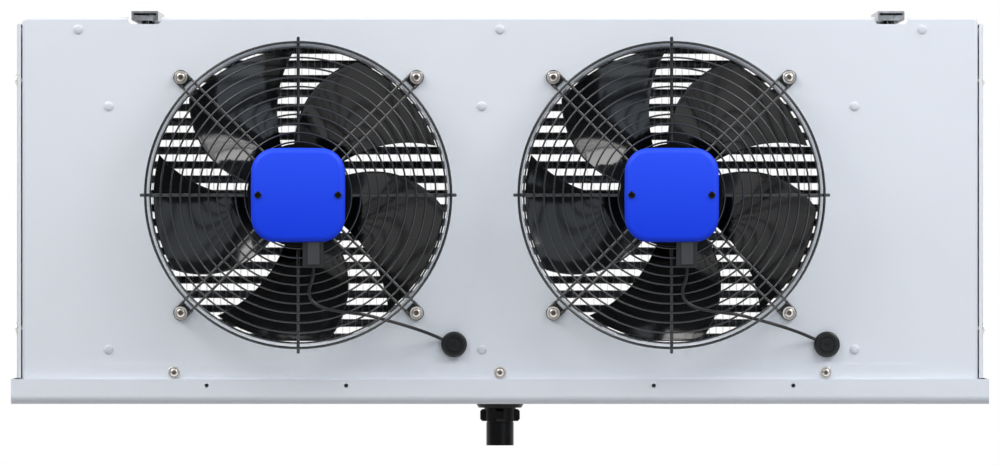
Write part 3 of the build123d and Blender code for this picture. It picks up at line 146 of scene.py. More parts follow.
def galvanisedFinish(name, colour, roughness):
    # zinc spangle: flat crystals, each with its own grey and gloss
    material, tree, shader = newMaterial(name)
    coords = objectCoords(tree)
    crystals = tree.nodes.new("ShaderNodeTexVoronoi")
    crystals.inputs["Scale"].default_value = 160.0
    tree.links.new(coords, crystals.inputs["Vector"])
    grey = tree.nodes.new("ShaderNodeSeparateColor")
    tree.links.new(crystals.outputs["Color"], grey.inputs["Color"])
    stops = [(0.0, shaded(colour, 0.78)), (1.0, shaded(colour, 1.2))]
    tree.links.new(colourRamp(tree, grey.outputs["Red"], stops), shader.inputs["Base Color"])
    gloss = mapRange(tree, grey.outputs["Green"], roughness - 0.1, roughness + 0.1)
    tree.links.new(gloss, shader.inputs["Roughness"])
    shader.inputs["Metallic"].default_value = 1.0
    addBump(tree, shader, noiseOn(tree, coords, 900.0), 0.08, 0.0002)
    return material


def tubeWithPaintedShade(name, tube, collar, pitch):
    # painted shade: the tube is dark grey for the shade deep in the coil, paler in a band at each fin's
    # collar
    material, tree, shader = newMaterial(name)
    coords = objectCoords(tree)
    place = tree.nodes.new("ShaderNodeSeparateXYZ")
    tree.links.new(coords, place.inputs["Vector"])
    steps = tree.nodes.new("ShaderNodeMath")
    steps.operation = "MULTIPLY"
    steps.inputs[1].default_value = 1 / pitch
    tree.links.new(place.outputs["X"], steps.inputs[0])
    part = tree.nodes.new("ShaderNodeMath")
    part.operation = "FRACT"
    tree.links.new(steps.outputs[0], part.inputs[0])
    stops = [(0.0, collar), (0.22, collar), (0.3, tube), (1.0, tube)]
    tree.links.new(colourRamp(tree, part.outputs[0], stops), shader.inputs["Base Color"])
    shader.inputs["Metallic"].default_value = 0.6
    tree.links.new(mapRange(tree, noiseOn(tree, coords, 300.0), 0.3, 0.5), shader.inputs["Roughness"])
    addBump(tree, shader, part.outputs[0], 0.15, 0.0004)
    return material


def capWithPaintedLight(name, upper, lower, reach, roughness, spread, specular, grain, depth):
    # painted light: moulded blue, painted paler toward the top and deeper toward the lower edge, as light
    # from above would fall on it
    material, tree, shader = newMaterial(name)
    coords = objectCoords(tree)
    place = tree.nodes.new("ShaderNodeSeparateXYZ")
    tree.links.new(coords, place.inputs["Vector"])
    middle = fanAxis["left"].z
    share = mapRange(tree, place.outputs["Z"], 0.0, 1.0, middle - reach, middle + reach)
    # painted light: the blend from the lower to the upper colour follows height on the cap
    tree.links.new(colourRamp(tree, share, [(0.0, lower), (1.0, upper)]), shader.inputs["Base Color"])
    shader.inputs["Specular IOR Level"].default_value = specular
    fine = noiseOn(tree, coords, grain)
    tree.links.new(mapRange(tree, fine, roughness - spread, roughness + spread), shader.inputs["Roughness"])
    addBump(tree, shader, fine, depth, 0.0003)
    return material


paint = {"colour": (0.79, 0.82, 0.88), "roughness": 0.45, "grain": 1300.0, "depth": 0.22, "tint": 0.012}
blades = {"colour": (0.0035, 0.004, 0.005), "roughness": 0.09, "spread": 0.02, "grain": 60.0, "depth": 0.002}
wire = {"colour": (0.012, 0.013, 0.015), "roughness": 0.24, "grain": 1100.0, "depth": 0.08, "specular": 0.8}
# the cap's blue with painted light: upper is the paler lit top, lower the deeper shaded bottom
capBlueAndPaintedLight = {"upper": (0.022, 0.085, 1.0), "lower": (0.0, 0.042, 0.8), "reach": 0.06, "roughness": 0.5,
           "spread": 0.05, "specular": 0.25, "grain": 2200.0, "depth": 0.08}
screwSteel = {"colour": (0.86, 0.81, 0.76), "roughness": 0.34, "metal": 1.0, "grain": 1500.0, "depth": 0.06}
zinc = {"colour": (0.5, 0.51, 0.53), "roughness": 0.4}
# tube is a dark grey of painted shade; collar is the fins' paler collars
tubes = {"tube": (0.3, 0.302, 0.315), "collar": (0.7, 0.705, 0.72), "pitch": 0.00827}
fins = {"colour": (0.93, 0.94, 0.95), "roughness": 0.26, "metal": 0.85, "grain": 200.0, "depth": 0.01,
        "tint": 0.01}

finishes = {
    "white_paint": grainyFinish("whitePowderCoat", **paint),
    "rivet_white": grainyFinish("whiteRivet", (0.7, 0.73, 0.79), 0.35, grain=400.0, depth=0.03),
    "galvanised": galvanisedFinish("galvanisedSteel", **zinc),
    "stainless": grainyFinish("stainlessSteel", **screwSteel),
    "aluminium_fin": grainyFinish("finStock", **fins),
    "dark_tube": tubeWithPaintedShade("darkTube", **tubes),
    "copper": grainyFinish("copperTube", (0.55, 0.27, 0.17), 0.3, metal=1.0, grain=200.0, tint=0.15),
    "black_plastic": grainyFinish("blackPlastic", **blades),
    "black_wire": grainyFinish("coatedWire", **wire),
    "black_rubber": grainyFinish("blackRubber", (0.005, 0.005, 0.006), 0.36, grain=1500.0),
    "blue_plastic": capWithPaintedLight("blueCap", **capBlueAndPaintedLight),
    "grey_plastic": grainyFinish("greyPlastic", (0.014, 0.015, 0.017), 0.45, grain=1600.0, depth=0.1),
    "motor_metal": grainyFinish("motorMetal", (0.012, 0.012, 0.013), 0.35, metal=0.3, grain=700.0),
    "magnet": grainyFinish("magnet", (0.04, 0.04, 0.045), 0.5, metal=0.6, grain=600.0),
}
drainPlastic = grainyFinish("drainPlastic", (0.003, 0.003, 0.004), 0.3, grain=1400.0, depth=0.1, specular=0.2)
plugGrey = grainyFinish("plugGrey", (0.045, 0.048, 0.052), 0.42, grain=1800.0, depth=0.1)
# painted shade: the dark steel put in screw sockets and in the seam under each head
socketSteel = grainyFinish("socketSteel", (0.2, 0.165, 0.14), 0.4, metal=0.8, grain=1500.0)
print("materials ready")


# shared tools

def finish(made, nodeNames, body):
    for name in nodeNames:
        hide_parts(name)
    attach(made, body)
    return made


def newObject(name, mesh):
    made = bpy.data.objects.new(name, mesh)
    scene.collection.objects.link(made)
    return made


def asPlainMesh(made, name):
    # evaluates the modifiers, keeps the result as a plain mesh and drops the modifiers
    bpy.context.view_layer.update()
    shape = made.evaluated_get(bpy.context.evaluated_depsgraph_get())
    mesh = bpy.data.meshes.new_from_object(shape)
    mesh.name = name
    plain = newObject(name, mesh)
    bpy.data.objects.remove(made)
    return plain


def join(name, objects, material):
    work = bmesh.new()
    for made in objects:
        work.from_mesh(made.data)
        bpy.data.objects.remove(made)
    for face in work.faces:
        face.material_index = 0
    mesh = bpy.data.meshes.new(name)
    work.to_mesh(mesh)
    work.free()
    mesh.materials.append(material)
    return newObject(name, mesh)


def newTree(name, inputs):
    tree = bpy.data.node_groups.new(name, "GeometryNodeTree")
    tree.interface.new_socket("Geometry", in_out="INPUT", socket_type="NodeSocketGeometry")
    tree.interface.new_socket("Geometry", in_out="OUTPUT", socket_type="NodeSocketGeometry")
    for label, kind in inputs:
        tree.interface.new_socket(label, in_out="INPUT", socket_type=kind)
    return tree, tree.nodes.new("NodeGroupInput"), tree.nodes.new("NodeGroupOutput")


def useTree(made, tree, values):
    # inputs are set by the socket's identifier
    modifier = made.modifiers.new(tree.name, "NODES")
    modifier.node_group = tree
    for item in tree.interface.items_tree:
        if item.item_type == "SOCKET" and item.in_out == "INPUT" and item.name in values:
            modifier[item.identifier] = values[item.name]
    return modifier


def lathe(name, profile, sides=32, hexPoints=()):
    # a turned piece along Z; the points named in hexPoints follow a hexagon in place of a circle
    work = bmesh.new()
    rows = []
    for index, (radius, height) in enumerate(profile):
        row = []
        for step in range(sides):
            angle = 2 * pi * step / sides
            reach = radius
            if index in hexPoints:
                reach = radius * cos(pi / 6) / cos((angle % (pi / 3)) - pi / 6)
            row.append(work.verts.new((reach * cos(angle), reach * sin(angle), height)))
        rows.append(row)
    for lower, upper in zip(rows, rows[1:]):
        for step in range(sides):
            after = (step + 1) % sides
            work.faces.new((lower[step], lower[after], upper[after], upper[step]))
    work.faces.new(list(reversed(rows[0])))
    work.faces.new(rows[-1])
    bmesh.ops.recalc_face_normals(work, faces=work.faces)
    mesh = bpy.data.meshes.new(name)
    work.to_mesh(mesh)
    work.free()
    mesh.shade_smooth()
    mesh.set_sharp_from_angle(angle=radians(turnedEdge))
    return newObject(name, mesh)


def roundedCorners(points, radius, steps=6):
    # a chain of points with its corners eased
    eased = [Vector(points[0])]
    for before, corner, after in zip(points, points[1:], points[2:]):
        before, corner, after = Vector(before), Vector(corner), Vector(after)
        back = (before - corner).normalized() * min(radius, (before - corner).length * 0.45)
        ahead = (after - corner).normalized() * min(radius, (after - corner).length * 0.45)
        for step in range(steps + 1):
            t = step / steps
            eased.append(corner + back * (1 - t) ** 2 + ahead * t**2)
    eased.append(Vector(points[-1]))
    return eased


# Geometry Nodes: round wire swept along edges, and one piece repeated on points

def makeWireTree():
    inputs = [("Sides", "NodeSocketInt"), ("Material", "NodeSocketMaterial")]
    tree, source, result = newTree("sweptWire", inputs)
    curve = tree.nodes.new("GeometryNodeMeshToCurve")
    thickness = tree.nodes.new("GeometryNodeInputNamedAttribute")
    thickness.inputs["Name"].default_value = "wireRadius"
    profile = tree.nodes.new("GeometryNodeCurvePrimitiveCircle")
    profile.inputs["Radius"].default_value = 1.0
    sweep = tree.nodes.new("GeometryNodeCurveToMesh")
    sweep.inputs["Fill Caps"].default_value = True
    smooth = tree.nodes.new("GeometryNodeSetShadeSmooth")
    real = tree.nodes.new("GeometryNodeRealizeInstances")
    paintOn = tree.nodes.new("GeometryNodeSetMaterial")
    link = tree.links.new
    link(source.outputs["Geometry"], curve.inputs["Mesh"])
    link(source.outputs["Sides"], profile.inputs["Resolution"])
    link(curve.outputs["Curve"], sweep.inputs["Curve"])
    link(profile.outputs["Curve"], sweep.inputs["Profile Curve"])
    link(thickness.outputs["Attribute"], sweep.inputs["Scale"])
    link(sweep.outputs["Mesh"], smooth.inputs["Geometry"])
    link(smooth.outputs["Geometry"], real.inputs["Geometry"])
    link(real.outputs["Geometry"], paintOn.inputs["Geometry"])
    link(source.outputs["Material"], paintOn.inputs["Material"])
    link(paintOn.outputs["Geometry"], result.inputs["Geometry"])
    return tree


def makeRepeatTree():
    inputs = [("Piece", "NodeSocketObject"), ("Material", "NodeSocketMaterial")]
    tree, source, result = newTree("repeatPiece", inputs)
    piece = tree.nodes.new("GeometryNodeObjectInfo")
    facing = tree.nodes.new("GeometryNodeInputNamedAttribute")
    facing.data_type = "FLOAT_VECTOR"
    facing.inputs["Name"].default_value = "facing"
    turn = tree.nodes.new("FunctionNodeAlignRotationToVector")
    turn.axis = "Z"
    place = tree.nodes.new("GeometryNodeInstanceOnPoints")
    real = tree.nodes.new("GeometryNodeRealizeInstances")
    paintOn = tree.nodes.new("GeometryNodeSetMaterial")
    link = tree.links.new
    link(source.outputs["Geometry"], place.inputs["Points"])
    link(source.outputs["Piece"], piece.inputs["Object"])
    link(piece.outputs["Geometry"], place.inputs["Instance"])
    link(facing.outputs["Attribute"], turn.inputs["Vector"])
    link(turn.outputs["Rotation"], place.inputs["Rotation"])
    link(place.outputs["Instances"], real.inputs["Geometry"])
    link(real.outputs["Geometry"], paintOn.inputs["Geometry"])
    link(source.outputs["Material"], paintOn.inputs["Material"])
    link(paintOn.outputs["Geometry"], result.inputs["Geometry"])
    return tree


wireTree = makeWireTree()
repeatTree = makeRepeatTree()


def sweptWires(name, paths, material, sides=12):
    # paths: (points, radius or a radius for each point, closed)
    places, edges, radii = [], [], []
    for points, radius, closed in paths:
        start = len(places)
        places.extend(points)
        radii.extend(radius if isinstance(radius, list) else [radius] * len(points))
        edges.extend((start + i, start + i + 1) for i in range(len(points) - 1))
        if closed:
            edges.append((len(places) - 1, start))
    mesh = bpy.data.meshes.new(name)
    mesh.from_pydata(places, edges, [])
    mesh.attributes.new("wireRadius", "FLOAT", "POINT").data.foreach_set("value", radii)
    made = newObject(f"{name}Path", mesh)
    useTree(made, wireTree, {"Sides": sides, "Material": material})
    return asPlainMesh(made, name)


def repeated(name, piece, places, facing, material):
    mesh = bpy.data.meshes.new(name)
    mesh.from_pydata(places, [], [])
    directions = mesh.attributes.new("facing", "FLOAT_VECTOR", "POINT")
    directions.data.foreach_set("vector", list(facing) * len(places))
    made = newObject(f"{name}Places", mesh)
    useTree(made, repeatTree, {"Piece": piece, "Material": material})
    plain = asPlainMesh(made, name)
    bpy.data.objects.remove(piece)
    return plain


def solidMiddles(node):
    # the middle of each separate solid of a node
    work = bmesh.new()
    work.from_mesh(nodes[node].data)
    bmesh.ops.remove_doubles(work, verts=work.verts, dist=mergeGap)
    left, middles = set(work.verts), []
    while left:
        stack, group = [next(iter(left))], []
        left.discard(stack[0])
        while stack:
            vert = stack.pop()
            group.append(vert.co.copy())
            for edge in vert.link_edges:
                other = edge.other_vert(vert)
                if other in left:
                    left.discard(other)
                    stack.append(other)
        low = Vector([min(co[i] for co in group) for i in range(3)])
        high = Vector([max(co[i] for co in group) for i in range(3)])
        middles.append((low + high) / 2)
    work.free()
    return sorted(middles, key=lambda place: (round(place.x, 4), place.z))


# angles in degrees: faces nearer to flat are joined, sharper edges stay sharp, and sharper ones are bevelled
smoothing = {"flat": 0.4, "sharp": 32.0, "bevelFrom": 40.0, "segments": 2}


def smoothCopy(node, material=None, bevel=0.0, flatten=True):
    # the solid's own surface, its triangles joined so that round faces shade round
    mesh = nodes[node].data.copy()
    made = newObject(f"{node}_finish", mesh)
    work = bmesh.new()
    work.from_mesh(mesh)
    bmesh.ops.remove_doubles(work, verts=work.verts, dist=mergeGap)
    if flatten:
        limit = radians(smoothing["flat"])
        bmesh.ops.dissolve_limit(work, angle_limit=limit, verts=work.verts, edges=work.edges)
    work.to_mesh(mesh)
    work.free()
    if bevel:
        modifier = made.modifiers.new("softEdges", "BEVEL")
        modifier.width = bevel
        modifier.segments = smoothing["segments"]
        modifier.limit_method = "ANGLE"
        modifier.angle_limit = radians(smoothing["bevelFrom"])
        made = asPlainMesh(made, f"{node}_soft")
        mesh = made.data
    mesh.shade_smooth()
    mesh.set_sharp_from_angle(angle=radians(smoothing["sharp"]))
    # wide flat faces keep flat normals, so the shading turns only in the bends
    weighted = made.modifiers.new("flatFaces", "WEIGHTED_NORMAL")
    weighted.keep_sharp = True
    made = asPlainMesh(made, f"{node}_smooth")
    mesh = made.data
    mesh.materials.clear()
    mesh.materials.append(material or finishes[slotOf[node]])
    return finish(made, [node], nodes[node]["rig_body"])


# fan guards

guard = {
    "standoff": 0.046, "ringWire": 0.0011, "outerWire": 0.0016, "legWire": 0.0016, "spokeWire": 0.002,
    "rings": (0.0638, 0.075, 0.0858, 0.0968, 0.1075, 0.1187, 0.13, 0.1412, 0.1528, 0.1649, 0.1772),
    "outerRing": 0.1832, "spokeFrom": 0.0638, "spokeTo": 0.19, "legFrom": 0.034, "legBend": 0.186,
    "legStep": 0.001, "legEase": 0.004, "footReach": 0.2, "footPlay": 0.0001, "legSpread": 0.0148,
    # the centre plate's hole and rim, and a foot clamp's near and far end and width
    "centrePlate": (0.03, 0.057), "centreSheet": 0.002,
    "clamp": (0.1886, 0.206, 0.0112), "clampSheet": 0.0014, "sharpAngle": 40.0,
}


def ringPoints(centre, radius, count=120):
    angles = [2 * pi * i / count for i in range(count)]
    return [centre + Vector((radius * cos(angle), 0, radius * sin(angle))) for angle in angles]


def flatPlate(name, outline, thickness, holeOutline=None):
    # a plate with its front face on the outline; a hole has as many points as the outline
    work = bmesh.new()
    down = Vector((0, thickness, 0))
    front = [work.verts.new(point) for point in outline]
    back = [work.verts.new(point + down) for point in outline]
    count = len(outline)
    if holeOutline:
        holeFront = [work.verts.new(point) for point in holeOutline]
        holeBack = [work.verts.new(point + down) for point in holeOutline]
        for i in range(count):
            j = (i + 1) % count
            work.faces.new((front[i], front[j], holeFront[j], holeFront[i]))
            work.faces.new((back[j], back[i], holeBack[i], holeBack[j]))
            work.faces.new((holeFront[i], holeFront[j], holeBack[j], holeBack[i]))
    else:
        work.faces.new(front)
        work.faces.new(list(reversed(back)))
    for i in range(count):
        j = (i + 1) % count
        work.faces.new((front[j], front[i], back[i], back[j]))
    bmesh.ops.recalc_face_normals(work, faces=work.faces)
    mesh = bpy.data.meshes.new(name)
    work.to_mesh(mesh)
    work.free()
    return newObject(name, mesh)


def makeGuard(side):
    axis = Vector((fanAxis[side].x, 0, fanAxis[side].z))
    ringY = panelFace - guard["standoff"]
    legY = ringY + guard["ringWire"] + guard["legWire"]
    spokeY = ringY + guard["ringWire"] + guard["spokeWire"]
    footY = panelFace - guard["legWire"] - guard["footPlay"]
    plateY = spokeY + guard["spokeWire"]
    middle = axis + Vector((0, ringY, 0))
    paths = [(ringPoints(middle, radius), guard["ringWire"], True) for radius in guard["rings"]]
    outerY = legY - guard["legWire"] - guard["outerWire"]
    paths.append((ringPoints(axis + Vector((0, outerY, 0)), guard["outerRing"]), guard["outerWire"], True))
    for quarter in range(4):
        angle = pi / 2 * quarter
        out = Vector((cos(angle), 0, sin(angle)))
        tip = guard["spokeTo"]
        # the spoke's end is rounded off
        stops = [(guard["spokeFrom"], 1.0), (tip - 0.0016, 1.0), (tip - 0.0006, 0.85), (tip - 0.0001, 0.5),
                 (tip, 0.1)]
        points = [axis + out * reach + Vector((0, spokeY, 0)) for reach, _ in stops]
        paths.append((points, [guard["spokeWire"] * share for _, share in stops], False))
        angle += pi / 4
        out = Vector((cos(angle), 0, sin(angle)))
        across = Vector((-sin(angle), 0, cos(angle))) * guard["legSpread"] / 2
        foot = axis + out * guard["footReach"] + Vector((0, footY, 0))
        run = roundedCorners(
            [
                axis + out * guard["legFrom"] + Vector((0, legY, 0)),
                axis + out * (guard["legBend"] - guard["legStep"]) + Vector((0, legY, 0)),
                axis + out * (guard["legBend"] + guard["legStep"]) + Vector((0, footY, 0)),
                foot,
            ],
            guard["legEase"],
        )
        turns = [pi * i / 12 for i in range(1, 12)]
        loop = [foot - across * cos(turn) + out * guard["legSpread"] / 2 * sin(turn) for turn in turns]
        whole = [point - across for point in run] + loop + [point + across for point in reversed(run)]
        paths.append((whole, guard["legWire"], False))
    wires = sweptWires(f"guardWires_{side}", paths, finishes["black_wire"])
    centre = axis + Vector((0, plateY, 0))
    inner, outer = guard["centrePlate"]
    rim, hole = ringPoints(centre, outer, 64), ringPoints(centre, inner, 64)
    plates = [flatPlate("centrePlate", rim, guard["centreSheet"], hole)]
    for quarter in range(4):
        angle = pi / 2 * quarter + pi / 4
        out = Vector((cos(angle), 0, sin(angle)))
        across = Vector((-sin(angle), 0, cos(angle)))
        near, far, wide = guard["clamp"]
        origin = axis + Vector((0, footY - guard["footPlay"], 0))
        ends = ((near, -1), (far, -1), (far, 1), (near, 1))
        corners = [origin + out * reach + across * way * wide / 2 for reach, way in ends]
        plates.append(flatPlate("clamp", corners, guard["clampSheet"]))
    made = join(f"wireGuard_{side}", [wires] + plates, finishes["black_wire"])
    made.data.shade_smooth()
    made.data.set_sharp_from_angle(angle=radians(guard["sharpAngle"]))
    return finish(made, [f"guard_{side}"], "casing")


for side in fanAxis:
    makeGuard(side)
print("guards ready")

# rivets and screws

rivet = {"radius": 0.0055, "height": 0.0024, "skirt": 0.0004}
footScrew = {"washer": 0.0079, "washerSheet": 0.0014, "head": 0.0052, "height": 0.0047, "seam": 0.0006,
             "socket": 0.0028, "depth": 0.0026}  # seam: the dark gap round the foot of the head
panScrew = {"washer": 0.0072, "washerSheet": 0.0011, "head": 0.0048, "height": 0.0042, "seam": 0.0004,
            "socket": 0.0025, "depth": 0.0018, "reach": 0.0044}  # reach: from the tab to the head's front


def rivetPiece():
    r, h, s = rivet["radius"], rivet["height"], rivet["skirt"]
    angles = [pi / 2 * i / 8 for i in range(8)]
    dome = [(r * cos(angle), s + (h - s) * sin(angle)) for angle in angles]
    return lathe("rivetPiece", [(r * 0.98, -0.0001), (r, s)] + dome[1:] + [(r * 0.05, h)], sides=28)


def screwPiece(name, size):
    # washer, round-edged head and a six-sided socket
    w, t, r, h = size["washer"], size["washerSheet"], size["head"], size["height"]
    profile = [
        (w - 0.0002, 0), (w, 0.0002), (w, t - 0.0003), (w - 0.0003, t), (r + size["seam"], t),
        (r, t - 0.0003), (r, h - 0.0014), (r - 0.0003, h - 0.0007), (r - 0.0009, h - 0.0002),
        (r - 0.0016, h), (size["socket"] + 0.0002, h), (size["socket"], h - 0.0003),
        (size["socket"], h - size["depth"]), (size["socket"] * 0.3, h - size["depth"] - 0.0004),
    ]
    return lathe(name, profile, sides=36, hexPoints=(10, 11, 12))


seamMargin = 0.00005  # the ends of the seam's faces keep the head's own steel
socketShare = 0.9


def paintShadeInSeams(made, spots, size):
    # painted shade: the socket and the seam under the head get a dark steel that stands in for the shade in
    # these hollows
    made.data.materials.clear()
    made.data.materials.append(finishes["stainless"])
    made.data.materials.append(socketSteel)
    for polygon in made.data.polygons:
        centre = Vector((polygon.center.x, 0, polygon.center.z))
        reach = min((Vector((spot.x, 0, spot.z)) - centre).length for spot in spots)
        inSeam = size["head"] + seamMargin < reach < size["head"] + size["seam"] - seamMargin
        polygon.material_index = 1 if inSeam or reach < size["socket"] * socketShare else 0


toFront = (0, -1, 0)
rivetSpots = [Vector((place.x, panelFace, place.z)) for place in solidMiddles("front_rivets")]
made = repeated("domeRivets", rivetPiece(), rivetSpots, toFront, finishes["rivet_white"])
finish(made, ["front_rivets"], "casing")

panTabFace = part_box("pan_screws")[0].y + panScrew["reach"]
panSpots = [Vector((place.x, panTabFace, place.z)) for place in solidMiddles("pan_screws")]
panPiece = screwPiece("panScrewPiece", panScrew)
made = repeated("panScrewHeads", panPiece, panSpots, toFront, finishes["stainless"])
paintShadeInSeams(made, panSpots, panScrew)
finish(made, ["pan_screws"], "drain_tray")

shankCut = 0.0002  # what stands before the foot's face by more than this is head, and is made anew

for side in fanAxis:
    footFace = panelFace - 2 * guard["legWire"] - guard["footPlay"]
    spots = [Vector((place.x, footFace, place.z)) for place in solidMiddles(f"guard_screws_{side}")]
    piece = screwPiece("footScrewPiece", footScrew)
    heads = repeated(f"footScrewHeads_{side}", piece, spots, toFront, finishes["stainless"])
    # shanks and nuts behind the panel keep the solid's shape
    work = bmesh.new()
    work.from_mesh(nodes[f"guard_screws_{side}"].data)
    bmesh.ops.delete(work, geom=[v for v in work.verts if v.co.y < footFace - shankCut], context="VERTS")
    rest = bpy.data.meshes.new("footScrewShanks")
    work.to_mesh(rest)
    work.free()
    made = join(f"footScrews_{side}", [heads, newObject("footScrewShanks", rest)], finishes["stainless"])
    made.data.shade_smooth()
    made.data.set_sharp_from_angle(angle=radians(turnedEdge))
    paintShadeInSeams(made, spots, footScrew)
    finish(made, [f"guard_screws_{side}"], "casing")
print("fastenings ready")

# fan cables

cable = {
    "diameter": 0.004, "length": 0.215, "innerFrom": 0.002,
    # places from the fan's axis, with the depth from the panel's face: down from the connector,
    # over the guard's middle, in behind its outer rings and down to the grommet
    "route": [
        (0.0185, -0.056, -0.0871), (0.0185, -0.056, -0.099), (0.0115, -0.055, -0.116),
        (0.0174, -0.0535, -0.1295), (0.034, -0.0525, -0.1365), (0.0571, -0.052, -0.1405),
        (0.0801, -0.0506, -0.143), (0.1001, -0.041, -0.1485), (0.126, -0.033, -0.1555),
        (0.1501, -0.019, -0.1635), (0.1641, -0.006, -0.1692), (0.1726, -0.004, -0.173),
    ],
}


def makeCable(side):
    node = f"fan_cable_{side}"
    origin = Vector((fanAxis[side].x, panelFace, fanAxis[side].z))
    places = [origin + Vector(place) for place in cable["route"]]
    curve = bpy.data.curves.new(f"fanCable_{side}", "CURVE")
    curve.dimensions = "3D"
    curve.resolution_u = 8
    curve.bevel_depth = cable["diameter"] / 2
    curve.bevel_resolution = 3
    curve.use_fill_caps = True
    spline = curve.splines.new("NURBS")
    spline.points.add(len(places) - 1)
    for point, place in zip(spline.points, places):
        point.co = (*place, 1)
    spline.order_u = 3
    spline.use_endpoint_u = True
    curve.materials.append(finishes["black_rubber"])
    made = finish(newObject(f"fanCable_{side}", curve), [node], "casing")
    # behind the panel the lead lies in the casing, as its solid does
    innerFace = panelFace + cable["innerFrom"]
    work = bmesh.new()
    work.from_mesh(nodes[node].data)
    bmesh.ops.delete(work, geom=[v for v in work.verts if v.co.y < innerFace], context="VERTS")
    bmesh.ops.remove_doubles(work, verts=work.verts, dist=mergeGap)
    mesh = bpy.data.meshes.new(f"innerLead_{side}")
    work.to_mesh(mesh)
    work.free()
    mesh.shade_smooth()
    mesh.set_sharp_from_angle(angle=radians(turnedEdge))
    mesh.materials.append(finishes["black_rubber"])
    finish(newObject(f"innerLead_{side}", mesh), [node], "casing")


for side in fanAxis:
    makeCable(side)
print("cables ready")

# the other pieces, from their solids

softEdges = {"impeller": 0.0005, "motor_housing": 0.0006, "cable_connector": 0.0005, "drain_nut": 0.0006,
             "drain_spigot": 0.0004, "drain_washer": 0.0005, "side_cover_bolts": 0.0003, "rail_bolts": 0.0003,
             "terminal_box": 0.0004, "hanger_rail": 0.0003, "cap_screws": 0.0002, "cable_grommet": 0.0005}
ownFinish = {"drain_spigot": drainPlastic, "drain_nut": drainPlastic, "drain_washer": drainPlastic}
keptAsSolid = {"coil_fins"}  # thin flat sheets look right as they are
crowned = {"motor_cap"}  # joined triangles would shade a crowned face in patches
plugDepth = 0.0012
nodes["coil_fins"].data.materials.clear()
nodes["coil_fins"].data.materials.append(finishes["aluminium_fin"])

for node in nodes:
    if nodes[node].hide_render or node in keptAsSolid:
        continue
    bare = node.replace("_left", "").replace("_right", "")
    made = smoothCopy(node, ownFinish.get(bare), softEdges.get(bare, 0.0), flatten=bare not in crowned)
    if bare == "cable_connector":
        # the paler plug in the front of the dark housing
        made.data.materials.append(plugGrey)
        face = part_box(node)[0].y + plugDepth
        for polygon in made.data.polygons:
            if polygon.center.y < face:
                polygon.material_index = 1
print("solids finished")

# floor, world and lamps

room = {
    "floorDrop": 0.95, "floorSize": 14.0, "floorColour": (0.42, 0.42, 0.42), "floorPale": 0.52,
    # strength of the world behind the object, round it and below it, and where each one fades
    "behind": 1.0, "before": 0.1, "below": 0.04, "depthFade": (-0.2, 0.25), "heightFade": (-0.35, 0.1),
}
half = room["floorSize"] / 2
floorMesh = bpy.data.meshes.new("floor")
corners = [(-half, -half), (half, -half), (half, half), (-half, half)]
floorMesh.from_pydata([(x, y, -room["floorDrop"]) for x, y in corners], [], [(0, 1, 2, 3)])
floor = newObject("floor", floorMesh)
floorMaterial, floorTree, floorShader = newMaterial("paleFloor")
floorShader.inputs["Base Color"].default_value = (*room["floorColour"], 1)
floorShader.inputs["Roughness"].default_value = 0.8
floorMesh.materials.append(floorMaterial)


def whereSeen(tree):
    # 1 for what the camera sees, straight, mirrored or through something clear
    rays = tree.nodes.new("ShaderNodeLightPath")
    total = rays.outputs["Is Camera Ray"]
    for name in ("Is Glossy Ray", "Is Transmission Ray"):
        either = tree.nodes.new("ShaderNodeMath")
        either.operation = "MAXIMUM"
        tree.links.new(total, either.inputs[0])
        tree.links.new(rays.outputs[name], either.inputs[1])
        total = either.outputs[0]
    return total


# the floor glows pale for whereSeen's rays alone, so its glow doesn't light the object
floorShader.inputs["Emission Color"].default_value = (1, 1, 1, 1)
floorGlow = mapRange(floorTree, whereSeen(floorTree), 0.0, room["floorPale"])
floorTree.links.new(floorGlow, floorShader.inputs["Emission Strength"])

# white to the camera and through clear things, white in mirrors only behind the object, and dim as a lamp
world = bpy.data.worlds.new("studio")
scene.world = world
world.use_nodes = True
worldTree = world.node_tree
background = worldTree.nodes["Background"]
background.inputs["Color"].default_value = (1, 1, 1, 1)
direction = worldTree.nodes.new("ShaderNodeSeparateXYZ")
worldCoords = worldTree.nodes.new("ShaderNodeTexCoord")
worldTree.links.new(worldCoords.outputs["Generated"], direction.inputs["Vector"])
height = mapRange(worldTree, direction.outputs["Z"], room["below"], room["before"], *room["heightFade"])
depth = mapRange(worldTree, direction.outputs["Y"], 0.0, room["behind"], *room["depthFade"])
rays = worldTree.nodes.new("ShaderNodeLightPath")
mirrored = worldTree.nodes.new("ShaderNodeMath")
mirrored.operation = "MULTIPLY"
worldTree.links.new(depth, mirrored.inputs[0])
worldTree.links.new(rays.outputs["Is Glossy Ray"], mirrored.inputs[1])
studio = worldTree.nodes.new("ShaderNodeMath")
studio.operation = "MAXIMUM"
worldTree.links.new(height, studio.inputs[0])
worldTree.links.new(mirrored.outputs[0], studio.inputs[1])
seen = worldTree.nodes.new("ShaderNodeMath")
seen.operation = "MAXIMUM"
worldTree.links.new(rays.outputs["Is Camera Ray"], seen.inputs[0])
worldTree.links.new(rays.outputs["Is Transmission Ray"], seen.inputs[1])
whiter = worldTree.nodes.new("ShaderNodeMath")
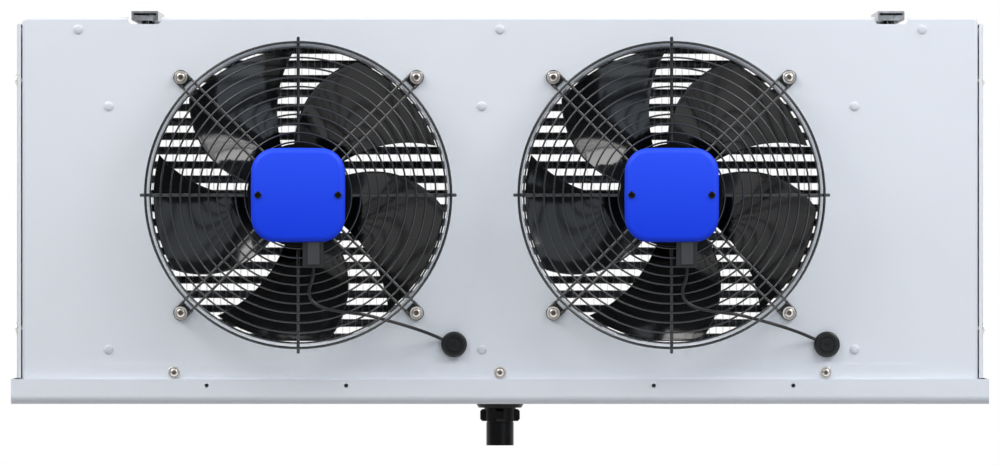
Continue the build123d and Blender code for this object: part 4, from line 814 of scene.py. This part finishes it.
whiter.operation = "MAXIMUM"
worldTree.links.new(seen.outputs[0], whiter.inputs[0])
worldTree.links.new(studio.outputs[0], whiter.inputs[1])
worldTree.links.new(whiter.outputs[0], background.inputs["Strength"])

# two keys from above, a wide cool one in front, a low one at the right, and one behind for the coil
lamps = {
    "keyLeft": {"at": (-2.2, -1.5, 2.0), "size": (2.3, 1.4), "watts": 75.0, "colour": (1, 0.99, 0.97)},
    "keyRight": {"at": (2.16, -1.5, 2.0), "size": (2.3, 1.4), "watts": 77.0, "colour": (1, 0.99, 0.98)},
    "frontWide": {"at": (0.0, -2.7, 2.25), "size": (3.6, 2.3), "watts": 26.0, "colour": (0.84, 0.92, 1)},
    "frontRight": {"at": (1.5, -2.6, 0.0), "size": (1.6, 1.3), "watts": 9.0, "colour": (0.78, 0.89, 1)},
    "rearSoft": {"at": (0.6, 2.6, 1.0), "size": (2.4, 1.4), "watts": 20.0, "colour": (1, 1, 1)},
}
aim = Vector((-0.02, -0.1, -0.24))  # near the middle of the casing
for name, values in lamps.items():
    light = bpy.data.lights.new(name, "AREA")
    light.shape = "RECTANGLE"
    light.size, light.size_y = values["size"]
    light.energy = values["watts"]
    light.color = values["colour"]
    lamp = bpy.data.objects.new(name, light)
    lamp.location = values["at"]
    lamp.rotation_euler = (aim - lamp.location).to_track_quat("-Z", "Y").to_euler()
    scene.collection.objects.link(lamp)
print("room and lamps ready")

# camera

view = {"width": 1.2, "distance": 22.0, "height": -0.2658, "sensor": 36.0}
panLow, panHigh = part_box("drain_pan")
cameraData = bpy.data.cameras.new("camera")
cameraData.sensor_width = view["sensor"]
cameraData.lens = view["sensor"] * view["distance"] / view["width"]
cameraData.clip_end = 60.0
camera = bpy.data.objects.new("camera", cameraData)
camera.location = ((panLow.x + panHigh.x) / 2, panLow.y - view["distance"], view["height"])
camera.rotation_euler = (radians(90), 0, 0)
scene.collection.objects.link(camera)
scene.camera = camera

scene.view_settings.view_transform = "Standard"
bpy.context.view_layer.update()
